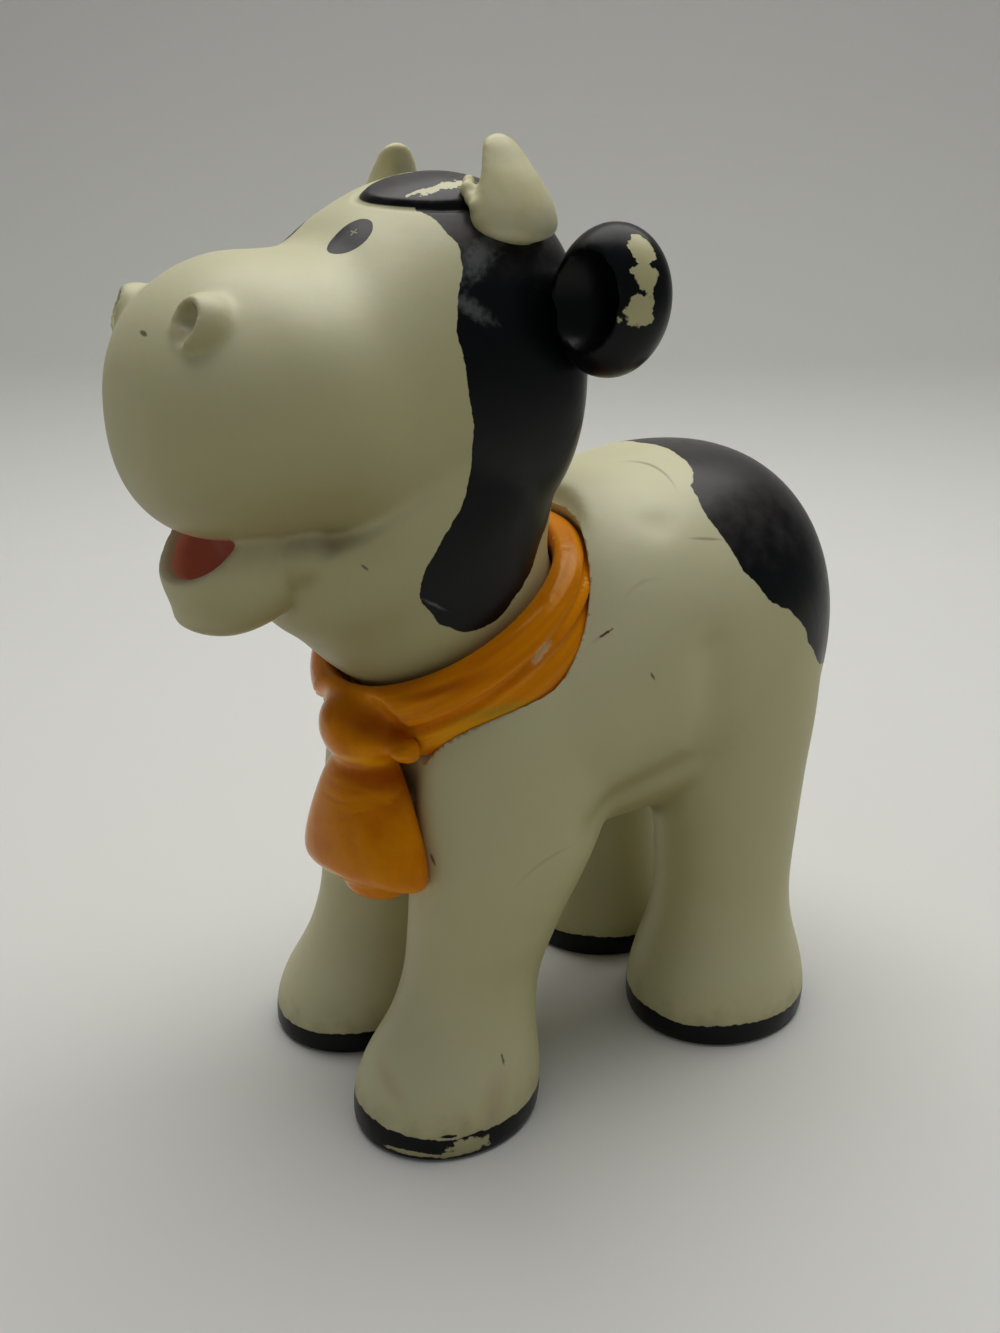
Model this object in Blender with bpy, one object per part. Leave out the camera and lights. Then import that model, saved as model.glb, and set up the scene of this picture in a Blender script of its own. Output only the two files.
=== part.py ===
"""A small toy cow in soft moulded vinyl, standing on four bell-shaped feet.

The hollow body carries a moulded scarf and a tail. The hollow head snaps into the body's neck and
turns there, and carries two plugged horns and two cupped ears. Metres, +Z up. The cow faces -Y and
its left side is +X. Every size is in real units, and what fits together shares its values.
"""

import math

import bmesh
import bpy
from mathutils import Matrix, Vector

MM = 0.001
X_AXIS = Vector((1, 0, 0))
UPRIGHT = math.pi / 2
SHARP_ANGLE = math.radians(40)

# Fits and wall
WALL = 2.0 * MM
SEAT_GAP = 0.3 * MM
TURN_GAP = 0.4 * MM
OVERRUN = 6.0 * MM

# Fineness of the moulded surfaces, and the triangles kept of each
BODY_VOXEL = 0.8 * MM
HEAD_VOXEL = 0.8 * MM
SCARF_VOXEL = 0.5 * MM
SMALL_VOXEL = 0.4 * MM
AROUND = 40
CUT_AROUND = 24
STEPS = 5
BODY_FACES = 2700
HEAD_FACES = 2450
CORE_FACES = 500
SCARF_FACES = 1300
KNOT_FACES = 1000
EAR_FACES = 560
HORN_FACES = 360
TAIL_FACES = 320
# Steps of smoothing that soften the lines where forms meet
BODY_SMOOTH_STEPS = 10
HEAD_SMOOTH_STEPS = 6
SMALL_SMOOTH_STEPS = 3
FINE_SMOOTH_STEPS = 2

# How high it stands: the legs carry the barrel, the barrel the neck, and the neck the head
FRONT_LEG_HEIGHT = 52.0 * MM
SHOULDER_RISE = 26.0 * MM
HAUNCH_EXTRA = 2.0 * MM
BARREL_DEPTH = 41.0 * MM
NECK_OVER_BELLY = 24.6 * MM
HEAD_OVER_NECK = 8.4 * MM
HEAD_DEPTH = 35.8 * MM
REAR_LEG_HEIGHT = FRONT_LEG_HEIGHT + HAUNCH_EXTRA
BELLY_HEIGHT = FRONT_LEG_HEIGHT - SHOULDER_RISE
BACK_HEIGHT = BELLY_HEIGHT + BARREL_DEPTH
NECK_HEIGHT = BELLY_HEIGHT + NECK_OVER_BELLY
HEAD_BASE = NECK_HEIGHT + HEAD_OVER_NECK
HEAD_TOP = HEAD_BASE + HEAD_DEPTH

# Neck joint: its place along the cow, its axis' lean forward, and its sizes
NECK_Y = -11.2 * MM
NECK_CENTRE = Vector((0, NECK_Y, NECK_HEIGHT))
NECK_LEAN = math.radians(31)
NECK_RADIUS = 11.9 * MM
NECK_DEPTH = 16.0 * MM
NECK_LIP = 3.2 * MM
PLUG_RADIUS = 7.7 * MM
FLANGE_RADIUS = 9.1 * MM
FLANGE_THICK = 1.6 * MM
POCKET_RADIUS = FLANGE_RADIUS + TURN_GAP

# Torso, a barrel from a chest that lies just behind the neck's front to the rump
CHEST_BACK = 2.1 * MM
CHEST_Y = NECK_Y - NECK_RADIUS + CHEST_BACK
RUMP_Y = 34.2 * MM
BARREL_HALF_WIDTH = 19.0 * MM
BARREL_FULLNESS = 2.2
# Rows from chest to rump: place along, top line, belly line, half width
TORSO_SHARES = (
    (0.000, 0.45, 0.36, 0.06),
    (0.017, 0.54, 0.22, 0.40),
    (0.070, 0.62, 0.09, 0.70),
    (0.170, 0.71, 0.02, 0.89),
    (0.290, 0.82, 0.00, 0.97),
    (0.400, 0.92, 0.00, 0.99),
    (0.520, 0.975, 0.00, 1.00),
    (0.660, 1.00, 0.00, 0.99),
    (0.790, 0.99, 0.02, 0.94),
    (0.890, 0.925, 0.08, 0.82),
    (0.960, 0.81, 0.18, 0.62),
    (0.992, 0.68, 0.30, 0.36),
    (1.000, 0.57, 0.42, 0.08),
)

# Legs: bell feet, slim ankles, and shoulders and haunches that flow into the torso
FOOT_NARROWING = 0.9
FRONT_FOOT_X = 10.3 * MM
FRONT_FOOT_Y = -19.0 * MM
FRONT_FOOT_HALF = 10.4 * MM
SHOULDER_SHIFT = 9.0 * MM
REAR_FOOT_X = 11.1 * MM
REAR_FOOT_Y = 18.7 * MM
REAR_FOOT_HALF = 11.3 * MM
HAUNCH_SHIFT = 2.5 * MM
# Rows from the sole up: height, half width, half length, shift of the axis to the rear
FRONT_LEG_SHARES = (
    (-0.140, 0.95, 0.95, 0.00),
    (0.000, 0.98, 0.98, 0.00),
    (0.046, 1.00, 1.00, 0.02),
    (0.115, 0.95, 0.94, 0.08),
    (0.210, 0.79, 0.78, 0.24),
    (0.310, 0.73, 0.72, 0.38),
    (0.420, 0.80, 0.80, 0.56),
    (0.560, 0.86, 1.00, 0.84),
    (0.710, 0.84, 1.15, 1.10),
    (0.865, 0.76, 1.12, 1.25),
    (1.000, 0.48, 0.75, 1.30),
)
REAR_LEG_SHARES = (
    (-0.140, 0.95, 0.95, 0.00),
    (0.000, 0.98, 0.98, 0.00),
    (0.052, 1.00, 1.00, 0.00),
    (0.130, 0.94, 0.92, 0.00),
    (0.220, 0.81, 0.79, 0.00),
    (0.315, 0.76, 0.73, 0.00),
    (0.425, 0.77, 0.76, 0.00),
    (0.575, 0.78, 0.82, 0.05),
    (0.720, 0.77, 0.87, 0.30),
    (0.870, 0.68, 0.84, 0.50),
    (1.000, 0.42, 0.55, 0.50),
)

# Head, from the muzzle to the nape
NOSE_Y = -44.0 * MM
NAPE_Y = -0.5 * MM
HEAD_HALF_WIDTH = 15.6 * MM
HEAD_FULLNESS = 2.25
# Rows from the nose back: place along, underside, top line, half width
HEAD_SHARES = (
    (0.000, 0.377, 0.460, 0.13),
    (0.014, 0.260, 0.580, 0.45),
    (0.062, 0.173, 0.687, 0.72),
    (0.138, 0.131, 0.765, 0.885),
    (0.230, 0.123, 0.810, 0.975),
    (0.322, 0.123, 0.816, 1.00),
    (0.402, 0.084, 0.830, 0.985),
    (0.483, 0.028, 0.905, 0.96),
    (0.598, 0.000, 0.975, 0.96),
    (0.736, 0.014, 1.000, 0.96),
    (0.874, 0.070, 0.944, 0.91),
    (0.943, 0.182, 0.838, 0.73),
    (0.989, 0.321, 0.698, 0.42),
    (1.000, 0.461, 0.573, 0.13),
)
THROAT_RISE = 20.0 * MM
THROAT_SHIFT = 3.0 * MM
# Rows up the neck axis: height, shift to the rear, and half width and half depth in neck radii
THROAT_SHARES = (
    (-0.05, 0.00, 1.00, 1.00),
    (0.00, 0.00, 1.00, 1.00),
    (0.15, 0.00, 1.03, 1.03),
    (0.30, 0.10, 1.08, 1.14),
    (0.50, 0.50, 1.14, 1.32),
    (0.70, 0.67, 1.19, 1.47),
    (1.00, 1.00, 1.21, 1.47),
)
JAW_RISE = 0.2 * MM
JAW_CENTRE = Vector((0, -35.6 * MM, HEAD_BASE + JAW_RISE))
JAW_HALF = Vector((9.4 * MM, 6.2 * MM, 4.2 * MM))
MOUTH_RISE = 2.7 * MM
MOUTH_CENTRE = Vector((0, -40.0 * MM, HEAD_BASE + MOUTH_RISE))
MOUTH_HALF = Vector((8.0 * MM, 7.4 * MM, 2.1 * MM))
FORELOCK_SUNK = 1.7 * MM
FORELOCK_CENTRE = Vector((0, -14.6 * MM, HEAD_TOP - FORELOCK_SUNK))
FORELOCK_HALF = Vector((9.5 * MM, 5.6 * MM, 2.5 * MM))
NOSTRIL_RISE = 23.0 * MM
NOSTRIL = Vector((9.1 * MM, -38.2 * MM, HEAD_BASE + NOSTRIL_RISE))
NOSTRIL_HALF = 3.0 * MM
NOSTRIL_HOLE = 1.3 * MM
# Where the hole's middle lies from the middle of its bump, in bump radii
NOSTRIL_AIM_SHARES = Vector((0.10, -0.95, 0.45))

# Scarf: two rolled folds round the neck, a knot and its tails
FOLD_OVER_NECK = 1.7 * MM
FOLD_RADIUS = NECK_RADIUS + FOLD_OVER_NECK
FOLD_THICK = 1.6 * MM
FOLD_TALL = 2.4 * MM
FOLD_RISE = 1.8 * MM
SEAT_REACH = FOLD_RADIUS + FOLD_THICK + SEAT_GAP
SEAT_BASE = -FOLD_RISE - FOLD_TALL - SEAT_GAP
# The knot's place on the folds: to the left, forward of their middle line, and down the neck
KNOT_SIDE = 2.8 * MM
KNOT_PROUD = 1.0 * MM
KNOT_LOW = 0.3 * MM
KNOT_HALF = Vector((5.4 * MM, 4.2 * MM, 4.2 * MM))
TAILS_TURN = math.radians(14)
TAILS_ROLL = math.radians(-11)
TAILS_TOP_HALF = 3.4 * MM
TAILS_HEM_HALF = 8.7 * MM
TAILS_DROP = 13.8 * MM
TAILS_THICK = 3.4 * MM
# The second tail lies behind the first and shows below its hem: its width and length in the first's
UNDER_WIDTH_SHARE = 0.4
UNDER_LENGTH_SHARE = 1.12
UNDER_BACK = 1.3 * MM
# Rows from the knot down: drop, spread, half thickness, swing forward
TAILS_SHARES = (
    (0.00, 0.00, 0.70, 0.00),
    (0.25, 0.45, 0.80, 0.20),
    (0.60, 0.85, 0.96, 0.40),
    (0.84, 1.00, 1.00, 0.50),
    (0.96, 0.90, 0.80, 0.45),
    (1.00, 0.60, 0.50, 0.40),
)

# Horns: a plugged peg, a flared skirt and a blunt tip
HORN_SUNK = 4.8 * MM
HORN_ROOT = Vector((10.8 * MM, -11.0 * MM, HEAD_TOP - HORN_SUNK))
HORN_SPLAY = math.radians(20)
HORN_LENGTH = 6.6 * MM
HORN_RADIUS = 4.2 * MM
HORN_TIP_SWING = Vector((-3.8 * MM, -0.6 * MM, 0))
# Rows from the peg's end to the tip: height, radius, swing
HORN_SHARES = (
    (-0.45, 0.46, 0.00),
    (-0.20, 0.48, 0.00),
    (-0.10, 0.92, 0.00),
    (0.03, 1.00, 0.00),
    (0.17, 0.94, 0.05),
    (0.36, 0.80, 0.20),
    (0.58, 0.64, 0.50),
    (0.78, 0.52, 0.80),
    (0.92, 0.40, 0.96),
    (1.00, 0.14, 1.00),
)

# Ears: fat cups that open forward
EAR_BELOW_TOP = 11.0 * MM
EAR_CENTRE = Vector((17.0 * MM, -4.8 * MM, HEAD_TOP - EAR_BELOW_TOP))
EAR_HALF = Vector((5.6 * MM, 4.5 * MM, 6.7 * MM))
EAR_TURN = math.radians(20)
EAR_TILT = math.radians(10)
EAR_CUP_SHIFT = -0.9 * MM
EAR_CUP_HALF = Vector((4.0 * MM, 3.4 * MM, 4.5 * MM))
EAR_PEG_RADIUS = 2.8 * MM
EAR_PEG_DROP = 1.0 * MM
EAR_PEG_LENGTH = 8.0 * MM

# Tail: a slim switch that leaves the rump and lies down it
TAIL_BELOW_BACK = 11.0 * MM
TAIL_TOP = BACK_HEIGHT - TAIL_BELOW_BACK
TAIL_LENGTH = 22.0 * MM
TAIL_RADIUS = 1.5 * MM
# Rows from the root: drop, radius, place behind the rump's end in tail radii, lean in right angles
TAIL_SHARES = (
    (0.00, 1.00, -3.40, 1.00),
    (0.00, 1.00, -1.60, 1.00),
    (0.01, 1.00, -0.20, 0.85),
    (0.06, 1.00, 0.90, 0.50),
    (0.16, 0.96, 1.40, 0.10),
    (0.34, 0.92, 1.55, 0.00),
    (0.54, 0.92, 1.60, 0.00),
    (0.70, 1.10, 1.60, 0.00),
    (0.84, 1.60, 1.60, 0.00),
    (0.95, 1.20, 1.50, 0.00),
    (1.00, 0.30, 1.40, 0.00),
)

CREAM = (0.78, 0.77, 0.60, 1)
BLACK = (0.012, 0.013, 0.016, 1)
ORANGE = (0.72, 0.26, 0.01, 1)
HORN_CREAM = (0.74, 0.68, 0.46, 1)


def material(name, colour, roughness):
    made = bpy.data.materials.new(name)
    made.use_nodes = True
    shader = made.node_tree.nodes["Principled BSDF"]
    shader.inputs["Base Color"].default_value = colour
    shader.inputs["Roughness"].default_value = roughness
    shader.inputs["Metallic"].default_value = 0
    return made


def add_object(name, bm):
    bmesh.ops.recalc_face_normals(bm, faces=bm.faces)
    mesh = bpy.data.meshes.new(name)
    bm.to_mesh(mesh)
    bm.free()
    made = bpy.data.objects.new(name, mesh)
    bpy.context.scene.collection.objects.link(made)
    return made


def discard(*things):
    for thing in things:
        bpy.data.objects.remove(thing)


# Sections and lofts
def between(rows, step, steps):
    """A smooth row between rows[1] and rows[2], on Catmull and Rom's spline."""
    t = step / steps
    made = []
    for p, q, r, s in zip(*rows):
        curve = 2 * q + (r - p) * t + (2 * p - 5 * q + 4 * r - s) * t**2
        made.append((curve + (3 * q - p - 3 * r + s) * t**3) / 2)
    return tuple(made)


def smooth_rows(rows, steps):
    padded = [rows[0], *rows, rows[-1]]
    made = []
    for i in range(len(rows) - 1):
        made += [between(padded[i : i + 4], step, steps) for step in range(steps)]
    return [*made, rows[-1]]


def fuller(value, power):
    """Pushes a circle function out towards its corners, for powers above 2."""
    return math.copysign(abs(value) ** (2 / power), value)


def loft(bm, rows, steps=STEPS, power=2):
    """Joins oval sections. A row: x, y, z, half width in X, half size across it, its lean."""
    rings = []
    for x, y, z, wide, deep, lean in smooth_rows(rows, steps):
        across = Vector((0, math.cos(lean), math.sin(lean)))
        ring = []
        for k in range(AROUND):
            turn = math.tau * k / AROUND
            out = X_AXIS * wide * fuller(math.cos(turn), power)
            out += across * deep * fuller(math.sin(turn), power)
            ring.append(bm.verts.new(Vector((x, y, z)) + out))
        rings.append(ring)
    for low, high in zip(rings, rings[1:]):
        for k in range(AROUND):
            after = (k + 1) % AROUND
            bm.faces.new((low[k], low[after], high[after], high[k]))
    bm.faces.new(rings[0])
    bm.faces.new(rings[-1])


def ellipsoid(bm, centre, half, turn=None, around=AROUND):
    frame = Matrix.Translation(centre) @ (turn or Matrix()) @ Matrix.Diagonal((*half, 1))
    bmesh.ops.create_uvsphere(bm, u_segments=around, v_segments=around // 2, radius=1, matrix=frame)


# Moulding: modifiers applied one after another
def settle(thing):
    """Replaces the object's mesh by what its modifiers make of it."""
    graph = bpy.context.evaluated_depsgraph_get()
    made = bpy.data.meshes.new_from_object(thing.evaluated_get(graph))
    thing.modifiers.clear()
    thing.data = made
    return thing


def mould(name, bm, voxel, rounds, faces):
    """Fuses the solids of one mesh into a skin, rounds their meeting lines and thins it out."""
    thing = add_object(name, bm)
    remesh = thing.modifiers.new("fuse", "REMESH")
    remesh.mode = "VOXEL"
    remesh.voxel_size = voxel
    smooth = thing.modifiers.new("round", "SMOOTH")
    smooth.iterations = rounds
    settle(thing)
    triangles = sum(len(face.vertices) - 2 for face in thing.data.polygons)
    thing.modifiers.new("thin_out", "DECIMATE").ratio = min(1, faces / triangles)
    return settle(thing)


def boolean(thing, other, operation="DIFFERENCE", folded=False):
    """Cuts or joins. folded is for another solid whose skin passes through itself."""
    cut = thing.modifiers.new(other.name, "BOOLEAN")
    cut.operation = operation
    cut.object = other
    cut.solver = "EXACT"
    cut.use_self = folded
    return settle(thing)


def grown(thing, by):
    """A copy whose surface lies this far outside the first one's."""
    made = bpy.data.objects.new(thing.name + "_space", thing.data.copy())
    bpy.context.scene.collection.objects.link(made)
    swell = made.modifiers.new("swell", "DISPLACE")
    swell.strength = by
    swell.mid_level = 0
    return settle(made)


def make_room(thing, *others, folded=False):
    """Cuts each of the others, and the seat gap round it, out of this solid."""
    for other in others:
        space = grown(other, SEAT_GAP)
        boolean(thing, space, folded=folded)
        discard(space)


def cut_at_floor(thing):
    bm = bmesh.new()
    bm.from_mesh(thing.data)
    everything = [*bm.verts, *bm.edges, *bm.faces]
    down = Vector((0, 0, -1))
    cut = bmesh.ops.bisect_plane(bm, geom=everything, plane_co=Vector(), plane_no=down, clear_outer=True)
    rim = [edge for edge in cut["geom_cut"] if isinstance(edge, bmesh.types.BMEdge)]
    bmesh.ops.holes_fill(bm, edges=rim)
    bmesh.ops.recalc_face_normals(bm, faces=bm.faces)
    bm.to_mesh(thing.data)
    bm.free()
    return thing


def finish(thing, skin):
    thing.data.materials.clear()
    thing.data.materials.append(skin)
    for face in thing.data.polygons:
        face.use_smooth = True
        face.material_index = 0
    thing.data.set_sharp_from_angle(angle=SHARP_ANGLE)


# The neck joint
def neck_frame():
    return Matrix.Translation(NECK_CENTRE) @ Matrix.Rotation(NECK_LEAN, 4, "X")


def neck_rows(stations):
    """Loft rows round the neck axis, from pairs of height along it and radius."""
    rows = []
    for height, radius in stations:
        x, y, z = neck_frame() @ Vector((0, 0, height))
        rows.append((x, y, z, radius, radius, NECK_LEAN))
    return rows


def neck_turning(name, stations):
    bm = bmesh.new()
    loft(bm, neck_rows(stations), steps=1)
    return add_object(name, bm)


def neck_bore():
    """The lip's bore and, below it, the pocket that the head's flange turns in."""
    bore = PLUG_RADIUS + TURN_GAP
    stations = (
        (OVERRUN, bore),
        (-NECK_LIP, bore),
        (-NECK_LIP, POCKET_RADIUS),
        (-NECK_DEPTH, POCKET_RADIUS),
    )
    return neck_turning("neck_bore", stations)


def head_plug():
    top = -NECK_LIP - TURN_GAP
    stations = (
        (OVERRUN, PLUG_RADIUS),
        (top, PLUG_RADIUS),
        (top, FLANGE_RADIUS),
        (top - FLANGE_THICK, PLUG_RADIUS),
    )
    return neck_turning("head_plug", stations)


def turning_space():
    """What the head's neck sweeps as it turns, with its clearance."""
    stations = [(0, NECK_RADIUS + TURN_GAP)]
    for up, back, wide, deep in THROAT_SHARES[2:5]:
        reach = max(wide * NECK_RADIUS, deep * NECK_RADIUS + back * THROAT_SHIFT)
        stations.append((up * THROAT_RISE, reach + TURN_GAP))
    return neck_turning("turning_space", stations)


def scarf_seat():
    """The ring of room round the neck that the scarf's folds sit in."""
    seat = neck_turning("scarf_seat", ((SEAT_BASE, SEAT_REACH), (2 * OVERRUN, SEAT_REACH)))
    neck = neck_turning("neck", ((-NECK_DEPTH, NECK_RADIUS), (NECK_DEPTH, NECK_RADIUS)))
    boolean(seat, neck)
    discard(neck)
    return seat


# The body
def torso_rows(inset):
    length = RUMP_Y - CHEST_Y - 2 * inset
    depth = BACK_HEIGHT - BELLY_HEIGHT
    rows = []
    for along, top, belly, wide in TORSO_SHARES:
        y = CHEST_Y + inset + along * length
        z = BELLY_HEIGHT + (top + belly) / 2 * depth
        half_height = (top - belly) * (depth / 2 - inset)
        rows.append((0, y, z, wide * (BARREL_HALF_WIDTH - inset), half_height, UPRIGHT))
    return rows


def leg_rows(side, foot_x, foot_y, foot_half, height, shift, shares, inset):
    rows = []
    for up, wide, long, back in shares:
        z = max(up, 0) * height + inset if inset else up * height
        half_x = wide * foot_half * FOOT_NARROWING - inset
        rows.append((side * foot_x, foot_y + back * shift, z, half_x, long * foot_half - inset, 0))
    return rows


def body_forms(inset):
    front = (FRONT_FOOT_X, FRONT_FOOT_Y, FRONT_FOOT_HALF, FRONT_LEG_HEIGHT, SHOULDER_SHIFT)
    rear = (REAR_FOOT_X, REAR_FOOT_Y, REAR_FOOT_HALF, REAR_LEG_HEIGHT, HAUNCH_SHIFT)
    bm = bmesh.new()
    loft(bm, torso_rows(inset), power=BARREL_FULLNESS)
    for side in (-1, 1):
        loft(bm, leg_rows(side, *front, FRONT_LEG_SHARES, inset))
        loft(bm, leg_rows(side, *rear, REAR_LEG_SHARES, inset))
    return bm


def build_body():
    bm = body_forms(0)
    loft(bm, neck_rows(((-NECK_DEPTH, NECK_RADIUS), (OVERRUN / 2, NECK_RADIUS))))
    return cut_at_floor(mould("body_shell", bm, BODY_VOXEL, BODY_SMOOTH_STEPS, BODY_FACES))


def hollow_body(body):
    """Hollows the body, but leaves a full wall round the scarf's seat."""
    core = mould("body_core", body_forms(WALL), BODY_VOXEL, SMALL_SMOOTH_STEPS, CORE_FACES)
    reach = SEAT_REACH + WALL
    kept = neck_turning("kept", ((SEAT_BASE - WALL, reach), (2 * OVERRUN, reach)))
    boolean(core, kept)
    bore = neck_bore()
    boolean(core, bore, "UNION")
    boolean(body, core)
    discard(core, kept, bore)


# The head
def head_rows(inset):
    length = NAPE_Y - NOSE_Y
    height = HEAD_TOP - HEAD_BASE
    rows = []
    for along, low, high, wide in HEAD_SHARES:
        z = HEAD_BASE + (low + high) / 2 * height
        half_height = (high - low) * height / 2 - inset
        rows.append((0, NOSE_Y + along * length, z, wide * HEAD_HALF_WIDTH - inset, half_height, UPRIGHT))
    return rows


def throat_rows():
    """The head's neck, round at the joint and flaring into the skull and the chin."""
    rows = []
    for up, back, wide, deep in THROAT_SHARES:
        x, y, z = neck_frame() @ Vector((0, back * THROAT_SHIFT, up * THROAT_RISE))
        rows.append((x, y, z, wide * NECK_RADIUS, deep * NECK_RADIUS, NECK_LEAN))
    return rows


def build_head():
    bm = bmesh.new()
    loft(bm, head_rows(0), power=HEAD_FULLNESS)
    loft(bm, throat_rows())
    ellipsoid(bm, JAW_CENTRE, JAW_HALF)
    ellipsoid(bm, FORELOCK_CENTRE, FORELOCK_HALF)
    cuts = bmesh.new()
    ellipsoid(cuts, MOUTH_CENTRE, MOUTH_HALF, around=CUT_AROUND)
    for side in (-1, 1):
        mirror = Vector((side, 1, 1))
        ellipsoid(bm, NOSTRIL * mirror, Vector((NOSTRIL_HALF, NOSTRIL_HALF, NOSTRIL_HALF)))
        hole = (NOSTRIL + NOSTRIL_AIM_SHARES * NOSTRIL_HALF) * mirror
        ellipsoid(cuts, hole, Vector((NOSTRIL_HOLE, NOSTRIL_HOLE, NOSTRIL_HOLE)), around=CUT_AROUND // 2)
    head = mould("head_shell", bm, HEAD_VOXEL, HEAD_SMOOTH_STEPS, HEAD_FACES)
    cuts = add_object("mouth_and_nostrils", cuts)
    seat = neck_turning("seat", ((-NECK_DEPTH, 2 * NECK_RADIUS), (SEAT_GAP, 2 * NECK_RADIUS)))
    boolean(head, cuts)
    boolean(head, seat)
    discard(cuts, seat)
    return head


def hollow_head(head):
    plug = head_plug()
    boolean(head, plug, "UNION")
    bm = bmesh.new()
    rows = [row for row in head_rows(WALL) if row[3] > WALL]
    loft(bm, rows, power=HEAD_FULLNESS)
    core = mould("head_core", bm, HEAD_VOXEL, SMALL_SMOOTH_STEPS, CORE_FACES)
    channel_radius = PLUG_RADIUS - WALL
    channel = neck_turning("channel", ((-NECK_DEPTH, channel_radius), (NECK_DEPTH, channel_radius)))
    boolean(core, channel, "UNION")
    boolean(head, core)
    discard(plug, core, channel)


def horn(name, side):
    rows = []
    for up, radius, swing in HORN_SHARES:
        x, y, _ = HORN_TIP_SWING * swing
        rows.append((x, y, up * HORN_LENGTH, radius * HORN_RADIUS, radius * HORN_RADIUS, 0))
    bm = bmesh.new()
    loft(bm, rows)
    mirror = Matrix.Diagonal((side, 1, 1, 1))
    place = mirror @ Matrix.Translation(HORN_ROOT) @ Matrix.Rotation(HORN_SPLAY, 4, "Y")
    bmesh.ops.transform(bm, matrix=place, verts=bm.verts)
    return mould(name, bm, SMALL_VOXEL, SMALL_SMOOTH_STEPS, HORN_FACES)


def ear(name, side):
    """A fat cup on a peg, whose open side looks forward."""
    mirror = Matrix.Diagonal((side, 1, 1, 1))
    turn = Matrix.Rotation(EAR_TURN, 4, "Z") @ Matrix.Rotation(EAR_TILT, 4, "Y")
    place = mirror @ Matrix.Translation(EAR_CENTRE) @ turn
    bm = bmesh.new()
    ends = (-EAR_PEG_LENGTH, 0)
    loft(bm, [(EAR_PEG_DROP, 0, end, EAR_PEG_RADIUS, EAR_PEG_RADIUS, 0) for end in ends])
    bmesh.ops.transform(bm, matrix=Matrix.Rotation(UPRIGHT, 4, "Y"), verts=bm.verts)
    ellipsoid(bm, Vector(), EAR_HALF)
    bmesh.ops.transform(bm, matrix=place, verts=bm.verts)
    made = mould(name, bm, SMALL_VOXEL, FINE_SMOOTH_STEPS, EAR_FACES)
    cup = bmesh.new()
    ellipsoid(cup, Vector((EAR_CUP_SHIFT, -EAR_HALF.y, 0)), EAR_CUP_HALF, around=CUT_AROUND)
    bmesh.ops.transform(cup, matrix=place, verts=cup.verts)
    cup = add_object("cup", cup)
    boolean(made, cup)
    discard(cup)
    return made


# Scarf and tail
def fold_round_neck(bm, rise):
    segments = 2 * AROUND
    rings = []
    for k in range(segments):
        turn = math.tau * k / segments
        ring = []
        for j in range(AROUND // 2):
            roll = math.tau * j / (AROUND // 2)
            reach = FOLD_RADIUS + FOLD_THICK * math.cos(roll)
            height = rise + FOLD_TALL * math.sin(roll)
            point = Vector((reach * math.cos(turn), reach * math.sin(turn), height))
            ring.append(bm.verts.new(neck_frame() @ point))
        rings.append(ring)
    for k, ring in enumerate(rings):
        after = rings[(k + 1) % segments]
        for j in range(len(ring)):
            i = (j + 1) % len(ring)
            bm.faces.new((ring[j], ring[i], after[i], after[j]))


def knot_centre():
    return neck_frame() @ Vector((KNOT_SIDE, -FOLD_RADIUS - KNOT_PROUD, -KNOT_LOW))


def hanging_tail(bm, narrow=1, longer=1, back=0):
    rows = []
    for drop, spread, thick, swing in TAILS_SHARES:
        half = TAILS_TOP_HALF + spread * (TAILS_HEM_HALF - TAILS_TOP_HALF)
        z = -KNOT_HALF.z / 2 - drop * longer * TAILS_DROP
        y = back - swing * TAILS_THICK
        rows.append((0, y, z, narrow * half, thick * TAILS_THICK, 0))
    loft(bm, rows)


def tails_below_knot(bm):
    hanging_tail(bm)
    hanging_tail(bm, UNDER_WIDTH_SHARE, UNDER_LENGTH_SHARE, UNDER_BACK)
    turn = Matrix.Rotation(TAILS_TURN, 4, "Z") @ Matrix.Rotation(TAILS_ROLL, 4, "Y")
    place = Matrix.Translation(knot_centre()) @ turn
    bmesh.ops.transform(bm, matrix=place, verts=bm.verts)


def build_scarf(body):
    bm = bmesh.new()
    for rise in (-FOLD_RISE, FOLD_RISE):
        fold_round_neck(bm, rise)
    scarf = mould("scarf", bm, SCARF_VOXEL, SMALL_SMOOTH_STEPS, SCARF_FACES)
    fit = NECK_RADIUS + SEAT_GAP
    neck = neck_turning("neck", ((-NECK_DEPTH, fit), (NECK_DEPTH, fit)))
    boolean(scarf, neck)
    bm = bmesh.new()
    tails_below_knot(bm)
    ellipsoid(bm, knot_centre(), KNOT_HALF)
    knot = mould("knot", bm, SCARF_VOXEL, SMALL_SMOOTH_STEPS, KNOT_FACES)
    make_room(knot, body, folded=True)
    boolean(scarf, knot, "UNION")
    discard(neck, knot)
    return scarf


def build_tail():
    rows = []
    for drop, radius, back, lean in TAIL_SHARES:
        half = radius * TAIL_RADIUS
        z = TAIL_TOP - drop * TAIL_LENGTH
        rows.append((0, RUMP_Y + back * TAIL_RADIUS, z, half, half, lean * UPRIGHT))
    bm = bmesh.new()
    loft(bm, rows)
    return mould("tail", bm, SMALL_VOXEL, FINE_SMOOTH_STEPS, TAIL_FACES)


def stand_centred(turning, still):
    """Centres the footprint on the origin, and puts the turning pieces' origins on the neck axis."""
    corners = [thing.matrix_world @ Vector(corner) for thing in (*turning, *still) for corner in thing.bound_box]
    middle = (min(corner.y for corner in corners) + max(corner.y for corner in corners)) / 2
    shift = Vector((0, -middle, 0))
    for thing in (*turning, *still):
        pivot = NECK_CENTRE + shift if thing in turning else Vector()
        thing.data.transform(Matrix.Translation(shift - pivot))
        thing.location = pivot


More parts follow.
